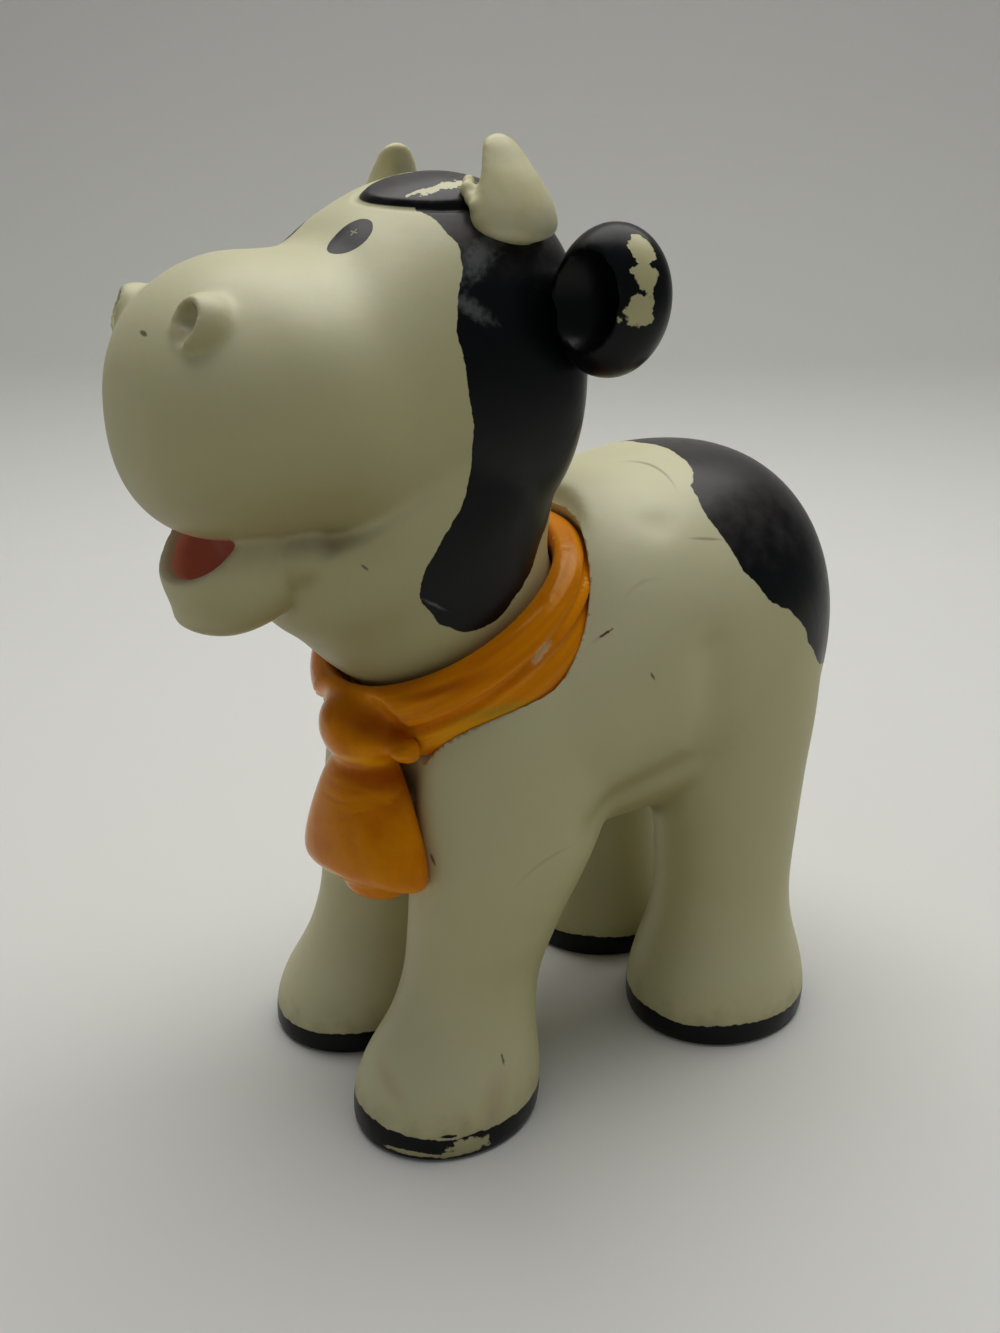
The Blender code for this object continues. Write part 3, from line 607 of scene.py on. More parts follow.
def fuse(thing, voxel, rounds):
    """Fuses the solids of one mesh into a skin and rounds their meeting lines."""
    remesh = thing.modifiers.new("fuse", "REMESH")
    remesh.mode = "VOXEL"
    remesh.voxel_size = voxel
    smooth = thing.modifiers.new("round", "SMOOTH")
    smooth.iterations = rounds
    return settle(thing)


def mould(name, bm, voxel, rounds):
    return fuse(add_object(name, bm), voxel, rounds)


def carve(thing, other):
    """Takes the other solid's shape out of the object."""
    cut = thing.modifiers.new(other.name, "BOOLEAN")
    cut.operation = "DIFFERENCE"
    cut.object = other
    cut.solver = "EXACT"
    return settle(thing)


def join_into(thing, bm):
    """Adds more solids to the object's mesh, for the next fuse."""
    base = bmesh.new()
    base.from_mesh(thing.data)
    more = bpy.data.meshes.new("more")
    bmesh.ops.recalc_face_normals(bm, faces=bm.faces)
    bm.to_mesh(more)
    bm.free()
    base.from_mesh(more)
    base.to_mesh(thing.data)
    base.free()
    return thing


# Reading and moving a mesh's points, in metres in the frame
def points_of(thing, kind="co"):
    """The places of the mesh's points, or their normals."""
    values = np.empty(len(thing.data.vertices) * 3)
    thing.data.vertices.foreach_get(kind, values)
    return values.reshape(-1, 3)


def normals_of(thing):
    return points_of(thing, "normal")


def set_points(thing, points):
    thing.data.vertices.foreach_set("co", points.ravel())
    thing.data.update()


def keep_values(thing, **named):
    """Keeps a number for each point, under each name, for the materials."""
    for name, values in named.items():
        attribute = thing.data.attributes.new(name, "FLOAT", "POINT")
        attribute.data.foreach_set("value", np.asarray(values, np.float32))


def distance_to(points, centre, half=(1, 1, 1)):
    """How far points lie from a centre, in the half sizes given."""
    return np.linalg.norm((points - np.array(centre)) / np.array(half), axis=1)


def bell(distance, width):
    return np.exp(-((distance / width) ** 2))


def bump_out(thing, centre, reach, height):
    """Raises, or with a negative height sinks, a soft round place on the skin."""
    points = points_of(thing)
    near = bell(distance_to(points, centre), reach)
    set_points(thing, points + normals_of(thing) * (height * near)[:, None])


def distance_to_line(points, start, end):
    along = end - start
    share = np.clip((points - start) @ along / (along @ along), 0, 1)
    return np.linalg.norm(points - start - share[:, None] * along, axis=1)


def groove(thing, path, width, depth):
    """Sinks a soft line along a path near the skin."""
    points = points_of(thing)
    path = np.array(path)
    far = np.min([distance_to_line(points, *ends) for ends in zip(path, path[1:])], axis=0)
    set_points(thing, points - normals_of(thing) * (depth * bell(far, width))[:, None])


def outline_distance(flat, outline):
    """Signed distance of flat points to a closed outline, positive inside it."""
    outline = np.array(outline)
    ends = np.roll(outline, -1, axis=0)
    best = np.full(len(flat), 1e9)
    inside = np.zeros(len(flat), bool)
    for start, end in zip(outline, ends):
        best = np.minimum(best, distance_to_line(flat, start, end))
        crosses = (start[1] > flat[:, 1]) != (end[1] > flat[:, 1])
        rise = np.where(end[1] == start[1], 1, end[1] - start[1])
        at = start[0] + (flat[:, 1] - start[1]) / rise * (end - start)[0]
        inside ^= crosses & (flat[:, 0] < at)
    return np.where(inside, best, -best)


def smooth_outline(corners):
    """A closed outline through the corners, on the same spline as the lofts."""
    count = len(corners)
    made = []
    for i in range(count):
        rows = [corners[(i + k - 1) % count] for k in range(4)]
        made += [between(rows, step, STEPS) for step in range(STEPS)]
    return made


def oval_distance(points, centre, long_way, long_half, short_half, normal):
    """Signed distance, in metres and positive inside, to an oval drawn on the skin."""
    long_way = np.array(long_way.normalized())
    normal = np.array(normal)
    short_way = np.cross(long_way, normal)
    short_way /= np.linalg.norm(short_way)
    offset = points - np.array(centre)
    far = np.sqrt((offset @ long_way / long_half) ** 2 + (offset @ short_way / short_half) ** 2)
    far = np.where(np.abs(offset @ normal) > long_half, 9, far)
    return (1 - far) * short_half


# The joint between head and body
def neck_frame():
    return Matrix.Translation(NECK_CENTRE) @ Matrix.Rotation(NECK_LEAN, 4, "X")


def neck_rows(stations):
    rows = []
    for height, radius in stations:
        rows.append((*(neck_frame() @ Vector((0, 0, height))), radius, radius, NECK_LEAN))
    return rows


def neck_turning(name, stations):
    bm = bmesh.new()
    loft(bm, neck_rows(stations), steps=1)
    return add_object(name, bm)


def turning_space():
    """What the head's neck sweeps as it turns, with its clearance."""
    stations = [(0, NECK_RADIUS + TURN_GAP)]
    for up, back, wide, deep in THROAT_SHARES[2:5]:
        reach = max(wide * NECK_RADIUS, deep * NECK_RADIUS + back * THROAT_SHIFT)
        stations.append((up * THROAT_RISE, reach + TURN_GAP))
    return neck_turning("turning_space", stations)


def barrel_rows(shares, start, end, base, top, half_width):
    """Rows of an upright loft. A share: along, its two heights, half width."""
    rows = []
    for along, first, second, wide in shares:
        z = base + (first + second) / 2 * (top - base)
        half_height = abs(first - second) * (top - base) / 2
        rows.append((0, start + along * (end - start), z, wide * half_width, half_height, UPRIGHT))
    return rows


# The body
def leg_rows(side, foot_x, foot_y, foot_half, height, shift, shares):
    rows = []
    for up, wide, long, back in shares:
        half_x = wide * foot_half * FOOT_NARROWING
        rows.append((side * foot_x, foot_y + back * shift, up * height, half_x, long * foot_half, 0))
    return rows


def body_forms():
    front = (FRONT_FOOT_X, FRONT_FOOT_Y, FRONT_FOOT_HALF, FRONT_LEG_HEIGHT, SHOULDER_SHIFT)
    rear = (REAR_FOOT_X, REAR_FOOT_Y, REAR_FOOT_HALF, REAR_LEG_HEIGHT, HAUNCH_SHIFT)
    bm = bmesh.new()
    torso = barrel_rows(TORSO_SHARES, CHEST_Y, RUMP_Y, BELLY_HEIGHT, BACK_HEIGHT, BARREL_HALF_WIDTH)
    loft(bm, torso, power=BARREL_FULLNESS)
    for side in (-1, 1):
        loft(bm, leg_rows(side, *front, FRONT_LEG_SHARES))
        loft(bm, leg_rows(side, *rear, REAR_LEG_SHARES))
    loft(bm, neck_rows(((-NECK_DEPTH, NECK_RADIUS), (NECK_TOP, NECK_RADIUS))))
    return bm


def cut_at_floor(thing):
    bm = bmesh.new()
    bm.from_mesh(thing.data)
    everything = [*bm.verts, *bm.edges, *bm.faces]
    down = Vector((0, 0, -1))
    cut = bmesh.ops.bisect_plane(bm, geom=everything, plane_co=Vector(), plane_no=down, clear_outer=True)
    rim = [edge for edge in cut["geom_cut"] if isinstance(edge, bmesh.types.BMEdge)]
    bmesh.ops.holes_fill(bm, edges=rim)
    bmesh.ops.recalc_face_normals(bm, faces=bm.faces)
    bm.to_mesh(thing.data)
    bm.free()
    return thing


def round_soles(thing):
    """Draws the skin in towards the sole, as a moulded edge is."""
    points = points_of(thing)
    normals = normals_of(thing)
    normals[:, 2] = 0
    low = np.clip((SOLE_EDGE - points[:, 2]) / SOLE_EDGE, 0, 1)
    drawn = SOLE_EDGE * (1 - np.sqrt(1 - low**2 * SOLE_ROUNDNESS))
    set_points(thing, points - normals * drawn[:, None])


def shift_into_frame(thing):
    thing.data.transform(Matrix.Translation(CENTRING))
    return thing


def build_body():
    body = mould("cow_body", body_forms(), BODY_VOXEL, BODY_ROUNDS)
    flare = neck_turning("flare", ((SEAT_BEND, SEAT_REACH), (SEAT_TOP, SEAT_REACH + SEAT_FLARE)))
    carve(body, flare)
    fuse(body, BODY_VOXEL, FLARE_ROUNDS)
    cut_at_floor(body)
    space = turning_space()
    carve(body, space)
    seat = neck_turning("scarf_seat", ((SEAT_BASE, SEAT_REACH), (SEAT_TOP, SEAT_REACH)))
    neck = neck_turning("neck", ((-NECK_DEPTH, NECK_RADIUS), (NECK_DEPTH, NECK_RADIUS)))
    carve(seat, neck)
    carve(body, seat)
    discard(space, seat, neck, flare)
    shift_into_frame(body)
    for side in (1, -1):
        path = [in_mm(side * x, y, z) for x, y, z in VALLEY_MM]
        groove(body, path, VALLEY_WIDE, VALLEY_DEEP)
    for x, y, z, reach, height in DIMPLES_MM:
        for side in (1, -1):
            bump_out(body, in_mm(side * x, y, z), reach * MM, height * MM)
    round_soles(body)
    points = points_of(body) / MM
    rump = outline_distance(points[:, 1:], smooth_outline(RUMP_EDGE_MM))
    keep_values(body, rump=rump, height=points[:, 2], facing_up=normals_of(body)[:, 2])
    return body


# The head
def throat_rows():
    rows = []
    for up, back, wide, deep in THROAT_SHARES:
        place = neck_frame() @ Vector((0, back * THROAT_SHIFT, up * THROAT_RISE))
        rows.append((*place, wide * NECK_RADIUS, deep * NECK_RADIUS, NECK_LEAN))
    return rows


def stroke_frame(start, end, half):
    """A stroke's middle, the ways along it and to its left as its watcher sees it, and its half length."""
    start, end = Vector(start) * MM, Vector(end) * MM
    along = (end - start) - seen_from() * (end - start).dot(seen_from())
    long_half = along.length / 2 + half * MM
    along.normalize()
    return (start + end) / 2, along, seen_from().cross(along), long_half


def leaf_reach(points):
    """How far points lie from the forelock's middle, 1 at its edge."""
    start, end, half, _ = FORELOCK
    middle, along, across, long_half = stroke_frame(start, end, half)
    offset = points - np.array(middle)
    ways = (along / long_half, across / (half * MM), seen_from() / (long_half + STROKE_DEPTH))
    return np.linalg.norm(np.stack([offset @ np.array(way) for way in ways], axis=1), axis=1)


def jaw_cup():
    """The jaw's mesh, with the mouth scooped out of it."""
    bm = bmesh.new()
    rows = [(0, y * MM, z * MM, wide * MM, deep * MM, 0) for y, z, wide, deep in JAW_ROWS_MM]
    loft(bm, rows)
    jaw = add_object("jaw", bm)
    scoop = bmesh.new()
    ellipsoid(scoop, MOUTH_CENTRE, MOUTH_HALF)
    ellipsoid(scoop, RIM_CENTRE, RIM_HALF, Matrix.Rotation(RIM_TURN, 4, "X"))
    scoop = mould("scoop", scoop, SCOOP_VOXEL, CUTTER_ROUNDS)
    cup = carve(jaw, scoop).data
    discard(scoop, jaw)
    return cup


def build_head():
    bm = bmesh.new()
    skull = barrel_rows(HEAD_SHARES, NOSE_Y, NAPE_Y, HEAD_BASE, HEAD_TOP, HEAD_HALF_WIDTH)
    loft(bm, skull, power=HEAD_FULLNESS)
    loft(bm, throat_rows())
    head = mould("cow_head", bm, HEAD_VOXEL, HEAD_ROUNDS)
    more = bmesh.new()
    more.from_mesh(jaw_cup())
    cuts = bmesh.new()
    for side in (-1, 1):
        mirror = Vector((side, 1, 1))
        ellipsoid(more, NOSTRIL * mirror, (NOSTRIL_HALF,) * 3)
        ellipsoid(more, CHIN_FILL * mirror, CHIN_FILL_HALF)
        hole = (NOSTRIL + NOSTRIL_AIM_SHARES * NOSTRIL_HALF) * mirror
        ellipsoid(cuts, hole, (NOSTRIL_HOLE,) * 3)
        dish = (NOSTRIL + NOSTRIL_DISH_SHARES * NOSTRIL_HALF) * mirror
        ellipsoid(cuts, dish, (NOSTRIL_DISH,) * 3)
    join_into(head, more)
    fuse(head, HEAD_VOXEL, BUMP_ROUNDS)
    cuts = mould("nostrils", cuts, NOSTRIL_VOXEL, CUTTER_ROUNDS)
    seat = neck_turning("seat", ((-NECK_DEPTH, 2 * NECK_RADIUS), (SEAT_GAP, 2 * NECK_RADIUS)))
    carve(head, cuts)
    carve(head, seat)
    discard(cuts, seat)
    fuse(head, FINE_VOXEL, SMALL_ROUNDS)
    shift_into_frame(head)
    points = points_of(head)
    leaf = leaf_reach(points)
    rise = np.clip((1 - leaf) / FORELOCK_EDGE, 0, 1) - MOAT_DEEP * bell(leaf - MOAT_AT, MOAT_WIDE)
    set_points(head, points + normals_of(head) * (rise * FORELOCK_THICK)[:, None])
    bump_out(head, NOSTRIL_LUMP, NOSTRIL_LUMP_REACH, NOSTRIL_LUMP_HEIGHT)
    mark_head(head)
    return head


def mark_head(head):
    points = points_of(head)
    flat = points / MM
    brow = np.interp(flat[:, 0], BROW_EDGE_ACROSS_MM, BROW_EDGE_ALONG_MM) - BROW_EDGE_ALONG_MM[-1]
    share = np.clip((flat[:, 2] - BROW_LOW_MM) / BROW_BLEND_MM, 0, 1)
    side_view = np.stack([flat[:, 1] - share * brow, flat[:, 2]], axis=1)
    one_side = points.copy()
    one_side[:, 0] = np.abs(points[:, 0])
    normal = EYE_NORMAL.normalized()
    slope = EYE_SLOPE.normalized()
    eye = oval_distance(one_side, EYE, slope, EYE_LONG, EYE_SHORT, normal)
    offset = (one_side - np.array(GLINT)) / MM
    holes = []
    for side in (-1, 1):
        hole = (NOSTRIL + NOSTRIL_AIM_SHARES * NOSTRIL_HALF + CENTRING) * Vector((side, 1, 1))
        holes.append(distance_to(points, hole) / NOSTRIL_HOLE)
    keep_values(
        head,
        face=outline_distance(side_view, smooth_outline(FACE_EDGE_MM)),
        eye=eye / MM,
        glint_along=offset @ np.array(slope),
        glint_across=offset @ np.array(EYE_SLOPE.cross(EYE_NORMAL).normalized()),
        mouth=1 - distance_to(points, MOUTH_CENTRE + CENTRING, MOUTH_HALF),
        forelock=1 - leaf_reach(points),
        nostril=1 - np.minimum(*holes),
        height=flat[:, 2],
        facing_up=normals_of(head)[:, 2],
    )


# Horns and ears
def horn(name, side):
    rows = []
    for up, radius, swing in HORN_SHARES:
        x, y, _ = HORN_TIP_SWING * swing
        half = radius * HORN_RADIUS
        rows.append((x, y, up * HORN_LENGTH, half * HORN_FLATNESS, half, 0))
    bm = bmesh.new()
    loft(bm, rows)
    mirror = Matrix.Diagonal((side, 1, 1, 1))
    place = mirror @ Matrix.Translation(HORN_ROOT) @ Matrix.Rotation(HORN_SPLAY, 4, "Y")
    bmesh.ops.transform(bm, matrix=place, verts=bm.verts)
    if side > 0:
        for centre, reach in HORN_CRUMBS_MM:
            ellipsoid(bm, in_mm(*centre), in_mm(reach, reach, reach))
    return shift_into_frame(mould(name, bm, FINE_VOXEL, SMALL_ROUNDS))


def ear(name, side):
    mirror = Matrix.Diagonal((side, 1, 1, 1))
    turn = Matrix.Rotation(EAR_TURN, 4, "Z") @ Matrix.Rotation(EAR_TILT, 4, "Y")
    place = mirror @ Matrix.Translation(EAR_CENTRE) @ turn
    bm = bmesh.new()
    ends = (-EAR_PEG_LENGTH, 0)
    loft(bm, [(EAR_PEG_DROP, 0, end, EAR_PEG_RADIUS, EAR_PEG_RADIUS, 0) for end in ends])
    bmesh.ops.transform(bm, matrix=Matrix.Rotation(UPRIGHT, 4, "Y"), verts=bm.verts)
    ellipsoid(bm, Vector(), EAR_HALF)
    bmesh.ops.transform(bm, matrix=place, verts=bm.verts)
    made = mould(name, bm, FINE_VOXEL, SMALL_ROUNDS)
    cup = bmesh.new()
    ellipsoid(cup, Vector((EAR_CUP_SHIFT, -EAR_HALF.y, 0)), EAR_CUP_HALF)
    bmesh.ops.transform(cup, matrix=place, verts=cup.verts)
    cup = add_object("cup", cup)
    carve(made, cup)
    discard(cup)
    fuse(made, FINE_VOXEL, SMALL_ROUNDS)
    shift_into_frame(made)
    points = points_of(made) / MM
    wear = np.full(len(points), -9.0)
    for centre, reach in EAR_WEAR_MM:
        wear = np.maximum(wear, reach - distance_to(points, np.array(centre) * (side, 1, 1)))
    keep_values(made, wear=wear, facing_up=EAR_DUST_AND_SHEEN * normals_of(made)[:, 2])
    return made


# Scarf and tail
def fold_round_neck(bm, rise):
    segments = 3 * AROUND
    rings = []
    for k in range(segments):
        turn = math.tau * k / segments
        ring = []
        for j in range(AROUND // 2):
            roll = math.tau * j / (AROUND // 2)
            reach = FOLD_RADIUS + FOLD_THICK * math.cos(roll)
            height = rise + FOLD_TALL * math.sin(roll)
            point = Vector((reach * math.cos(turn), reach * math.sin(turn), height))
            ring.append(bm.verts.new(neck_frame() @ point))
        rings.append(ring)
    for k, ring in enumerate(rings):
        bridge(bm, ring, rings[(k + 1) % segments])


def hanging_tail(bm, narrow=1, longer=1, back=0):
    rows = []
    for drop, spread, thick, swing in TAILS_SHARES:
        half = TAILS_TOP_HALF + spread * (TAILS_HEM_HALF - TAILS_TOP_HALF)
        z = -KNOT_HALF.z / 2 - drop * longer * TAILS_DROP
        rows.append((0, back - swing * TAILS_THICK, z, narrow * half, thick * TAILS_THICK, 0))
    loft(bm, rows)


def tails_below_knot(bm):
    hanging_tail(bm)
    hanging_tail(bm, UNDER_WIDTH_SHARE, UNDER_LENGTH_SHARE, UNDER_BACK)
    turn = Matrix.Rotation(TAILS_TURN, 4, "Z") @ Matrix.Rotation(TAILS_ROLL, 4, "Y")
    place = Matrix.Translation(KNOT_CENTRE) @ turn
    bmesh.ops.transform(bm, matrix=place, verts=bm.verts)


def build_scarf():
    bm = bmesh.new()
    tails_below_knot(bm)
    ellipsoid(bm, KNOT_CENTRE, KNOT_HALF)
    ellipsoid(bm, FLAP, FLAP_HALF)
    for rise in (-FOLD_RISE, FOLD_RISE):
        fold_round_neck(bm, rise)
    scarf = mould("neckerchief", bm, SCARF_VOXEL, SCARF_ROUNDS)
    space = turning_space()
    carve(scarf, space)
    discard(space)
    return shape_folds(shift_into_frame(scarf))


def shape_folds(scarf):
    """Widens the ring and draws the line between its two folds, away from the knot and the tails."""
    points = points_of(scarf)
    neck = np.array(neck_frame().to_3x3())
    local = (points - np.array(NECK_CENTRE + CENTRING)) @ neck
    up = local[:, 2]
    outward = local * (1, 1, 0)
    reach = np.linalg.norm(outward, axis=1)
    outward = outward / reach[:, None] @ neck.T
    turn = np.arctan2(local[:, 0], -local[:, 1])
    knot = distance_to(points, KNOT_CENTRE + CENTRING, KNOT_HALF)
    free = np.clip((knot - KNOT_CLEAR) / KNOT_BLEND, 0, 1) * (up > RING_LOW)
    line = np.interp(np.abs(turn), FOLD_LINE_TURN, FOLD_LINE_UP_MM)
    relief = np.zeros(len(points))
    for above, wide, height in FOLD_RELIEF_MM:
        relief += height * bell(up / MM - line - above, wide)
    widen = free * np.clip((reach - FOLD_RADIUS) / FOLD_THICK - WIDEN_FROM, 0, 1) * FOLD_OUT
    widen *= reach < FOLD_RADIUS + FOLD_THICK + FOLD_OUT
    widen *= np.clip(WIDEN_TOP_SHARE - up / WIDEN_FADE, WIDEN_LEAST, 1)
    points = points + normals_of(scarf) * (relief * free * MM)[:, None]
    set_points(scarf, points + outward * widen[:, None])
    bump_out(scarf, KNOT_HOLLOW, KNOT_HOLLOW_REACH, -KNOT_HOLLOW_DEEP)
    keep_values(scarf, turn=turn, up=up / MM, reach=reach / MM, on_ring=free)
    return scarf


def build_tail():
    rows = []
    for drop, radius, back, lean in TAIL_SHARES:
        half = radius * TAIL_RADIUS
        z = TAIL_TOP - drop * TAIL_LENGTH
        rows.append((0, RUMP_Y + back * TAIL_RADIUS, z, half, half, lean * UPRIGHT))
    bm = bmesh.new()
    loft(bm, rows)
    tail = shift_into_frame(mould("tail_switch", bm, FINE_VOXEL, BUMP_ROUNDS))
    keep_values(tail, height=points_of(tail)[:, 2] / MM, facing_up=normals_of(tail)[:, 2])
    return tail


# Procedural materials
class Paint:
    """One Principled material, whose inputs are built up node by node."""

    def __init__(self, name, **settings):
        self.material = bpy.data.materials.new(name)
        self.material.use_nodes = True
        self.tree = self.material.node_tree
        self.skin = self.tree.nodes["Principled BSDF"]
        for socket, value in settings.items():
            self.skin.inputs[socket.replace("_", " ")].default_value = value
        self.place = self.tree.nodes.new("ShaderNodeTexCoord").outputs["Object"]

    def put(self, value, socket):
        if isinstance(value, bpy.types.NodeSocket):
            self.tree.links.new(value, socket)
        else:
            socket.default_value = value

    def value(self, name):
        node = self.tree.nodes.new("ShaderNodeAttribute")
        node.attribute_name = name
        return node.outputs["Fac"]

    def maths(self, operation, *values):
        node = self.tree.nodes.new("ShaderNodeMath")
        node.operation = operation
        for value, socket in zip(values, node.inputs):
            self.put(value, socket)
        return node.outputs[0]

    def add(self, *values):
        total = values[0]
        for value in values[1:]:
            total = self.maths("ADD", total, value)
        return total

    def times(self, first, second):
        return self.maths("MULTIPLY", first, second)

    def less(self, value, share):
        """The value, taken away where the share is 1."""
        return self.times(value, self.maths("SUBTRACT", 1, share))

    def most(self, *values):
        total = values[0]
        for value in values[1:]:
            total = self.maths("MAXIMUM", total, value)
        return total

    def noise(self, size, detail=2.0, stretch=(1, 1, 1), place=None):
        """Noise from about -1 to 1, whose lumps are this many metres wide."""
        scaled = self.tree.nodes.new("ShaderNodeVectorMath")
        scaled.operation = "MULTIPLY"
        self.put(place or self.place, scaled.inputs[0])
        scaled.inputs[1].default_value = [way / size for way in stretch]
        node = self.tree.nodes.new("ShaderNodeTexNoise")
        node.inputs["Scale"].default_value = 1
        node.inputs["Detail"].default_value = detail
        self.put(scaled.outputs[0], node.inputs["Vector"])
        return self.maths("MULTIPLY_ADD", node.outputs["Fac"], 4, -2)

    def waves(self, rows):
        """A sum of noises."""
        lumps = [self.times(self.noise(size * MM, detail), height) for size, detail, height in rows]
        return self.add(*lumps)

    def specks(self, size, low, high, strength):
        return self.times(self.step(self.noise(size * MM, 3), low, high), strength)

    def edge(self, value, soft):
        """A crisp painted edge, where the value passes through 0."""
        return self.step(value, -soft, soft)

    def step(self, value, low, high):
        """0 below low and 1 above high, smooth between."""
        node = self.tree.nodes.new("ShaderNodeMapRange")
        node.interpolation_type = "SMOOTHSTEP"
        self.put(value, node.inputs["Value"])
        node.inputs["From Min"].default_value = low
        node.inputs["From Max"].default_value = high
        return node.outputs[0]

    def mix(self, share, under, over):
        node = self.tree.nodes.new("ShaderNodeMix")
        node.data_type = "RGBA"
        self.put(share, node.inputs["Factor"])
        self.put(under, node.inputs[6])
        self.put(over, node.inputs[7])
        return node.outputs[2]

    def blend(self, share, under, over):
        node = self.tree.nodes.new("ShaderNodeMix")
        self.put(share, node.inputs["Factor"])
        self.put(under, node.inputs[2])
        self.put(over, node.inputs[3])
        return node.outputs[0]

    def vector(self, operation, first, second):
        node = self.tree.nodes.new("ShaderNodeVectorMath")
        node.operation = operation
        self.put(first, node.inputs[0])
        self.put(second, node.inputs[1])
        return node.outputs["Value" if operation in ("DOT_PRODUCT", "LENGTH") else 0]

    def mark(self, start, end, half, bend, soft, ragged):
        """1 inside a stroke on the skin, and 0 outside it."""
        middle, along, across, long_half = stroke_frame(start, end, half)
        offset = self.vector("SUBTRACT", self.place, middle)
        u = self.vector("DOT_PRODUCT", offset, along / long_half)
        v = self.vector("DOT_PRODUCT", offset, across / (half * MM))
        w = self.vector("DOT_PRODUCT", offset, seen_from() / (long_half + STROKE_DEPTH))
        sag = self.maths("MULTIPLY_ADD", self.times(u, u), bend / half, -bend / half)
        far = self.vector("LENGTH", self.combine(u, self.add(v, sag), w), (0, 0, 0))
        if ragged:
            far = self.add(far, ragged)
        return self.step(far, 1 + soft, 1 - soft)

    def marks(self, strokes, soft, ragged=None):
        return self.most(*[self.mark(*stroke, soft, ragged) for stroke in strokes])

    def with_wear_and_light(self, colour, layers, ragged=None):
        """The colour with layers of wear, and of painted light and shade, laid over it."""
        for strokes, tone, strength, soft in layers:
            colour = self.mix(self.times(self.marks(strokes, soft, ragged), strength), colour, tone)
        return colour

    def combine(self, x, y, z):
        node = self.tree.nodes.new("ShaderNodeCombineXYZ")
        for value, socket in zip((x, y, z), node.inputs):
            self.put(value, socket)
        return node.outputs[0]

    def finish(self, colour, roughness, relief):
        """relief is a height in millimetres."""
        self.put(colour, self.skin.inputs["Base Color"])
        self.put(roughness, self.skin.inputs["Roughness"])
        node = self.tree.nodes.new("ShaderNodeBump")
        node.inputs["Strength"].default_value = 1
        node.inputs["Distance"].default_value = MM
        self.put(relief, node.inputs["Height"])
        self.put(node.outputs[0], self.skin.inputs["Normal"])
        return self.material


def cream_colour(paint):
    colour = paint.mix(paint.step(paint.noise(11 * MM), -1, 1), CREAM, CREAM_DEEP)
    facing = paint.value("facing_up")
    # Painted shade: darker, browner tones where the skin faces sideways and down
    for start, end, tone in CREAM_SHADE_TURNS:
        colour = paint.mix(paint.step(facing, start, end), colour, tone)
    return paint.mix(paint.specks(*CREAM_SPECKS), colour, GRIME_AND_SHADE)


def coat(paint, colour, black, scuffs_and_sheen=None, dust_and_sheen=1):
    """Lays black paint over the colour. It is duller and paler on top, where dust and hands reach it and as
    a painted sheen of the light from above.
    """
    mottle = paint.noise(1.8 * MM, 4)
    facing = paint.add(paint.value("facing_up"), paint.times(mottle, DUST_AND_SHEEN_MOTTLE))
    # Paler black on top: dust, and a painted sheen of the light from above
    black_tone = paint.mix(paint.times(paint.step(facing, *DUST_AND_SHEEN_TURN), dust_and_sheen), BLACK, BLACK_DUST_AND_SHEEN)
    black_tone = paint.mix(paint.specks(*BLACK_SPECKS), black_tone, BLACK_SCUFF_AND_SHEEN)
    # Scuffs, and painted sheen on the head patch
    if scuffs_and_sheen:
        black_tone = paint.mix(scuffs_and_sheen, black_tone, BLACK_SCUFF_AND_SHEEN)
    colour = paint.mix(black, colour, black_tone)
    rough = paint.blend(black, CREAM_ROUGHNESS, BLACK_ROUGHNESS)
    rough = paint.add(rough, paint.times(mottle, ROUGH_MOTTLE))
    relief = paint.add(paint.waves(RELIEF_NOISE), paint.times(black, PAINT_THICK_MM))
    paint.put(paint.blend(black, CREAM_SHEEN, BLACK_SHEEN), paint.skin.inputs["Specular IOR Level"])
    return paint.finish(colour, rough, relief)


def body_material():
    paint = Paint("cow_body_vinyl", **VINYL)
    height = paint.value("height")
    smear = paint.add(paint.waves(SMEAR_NOISE), paint.times(height, SMEAR_FADE))
    smear = paint.times(paint.step(smear, *SMEAR_RANGE), SMEAR_STRENGTH)
    colour = paint.mix(smear, cream_colour(paint), GRIME_AND_SHADE)
    # Wear, and painted shade along the back's creases
    colour = paint.with_wear_and_light(colour, BODY_WEAR_AND_SHADE)
    colour = paint.with_wear_and_light(colour, BODY_CHIPS, paint.waves(BODY_CHIP_NOISE))
    rump = paint.edge(paint.add(paint.value("rump"), paint.waves(BODY_EDGE_NOISE)), 0.06)
    band = paint.add(paint.times(height, -1), HOOF_BAND_MM, paint.waves(HOOF_EDGE_NOISE))
    frayed = paint.waves(FRAY_NOISE)
    hoof = paint.less(paint.edge(band, 0.06), paint.marks(HOOF_WEAR, 0.15, frayed))
    return coat(paint, colour, paint.most(rump, hoof, paint.marks(HOOF_SPILLS, 0.2, frayed)))


def glint(paint):
    """A small star in the eye: 1 inside it."""
    along = paint.maths("ABSOLUTE", paint.value("glint_along"))
    across = paint.maths("ABSOLUTE", paint.value("glint_across"))
    arm = paint.times(paint.maths("MINIMUM", along, across), GLINT_THINNESS)
    return paint.step(paint.most(arm, along, across), *GLINT_REACH_MM)


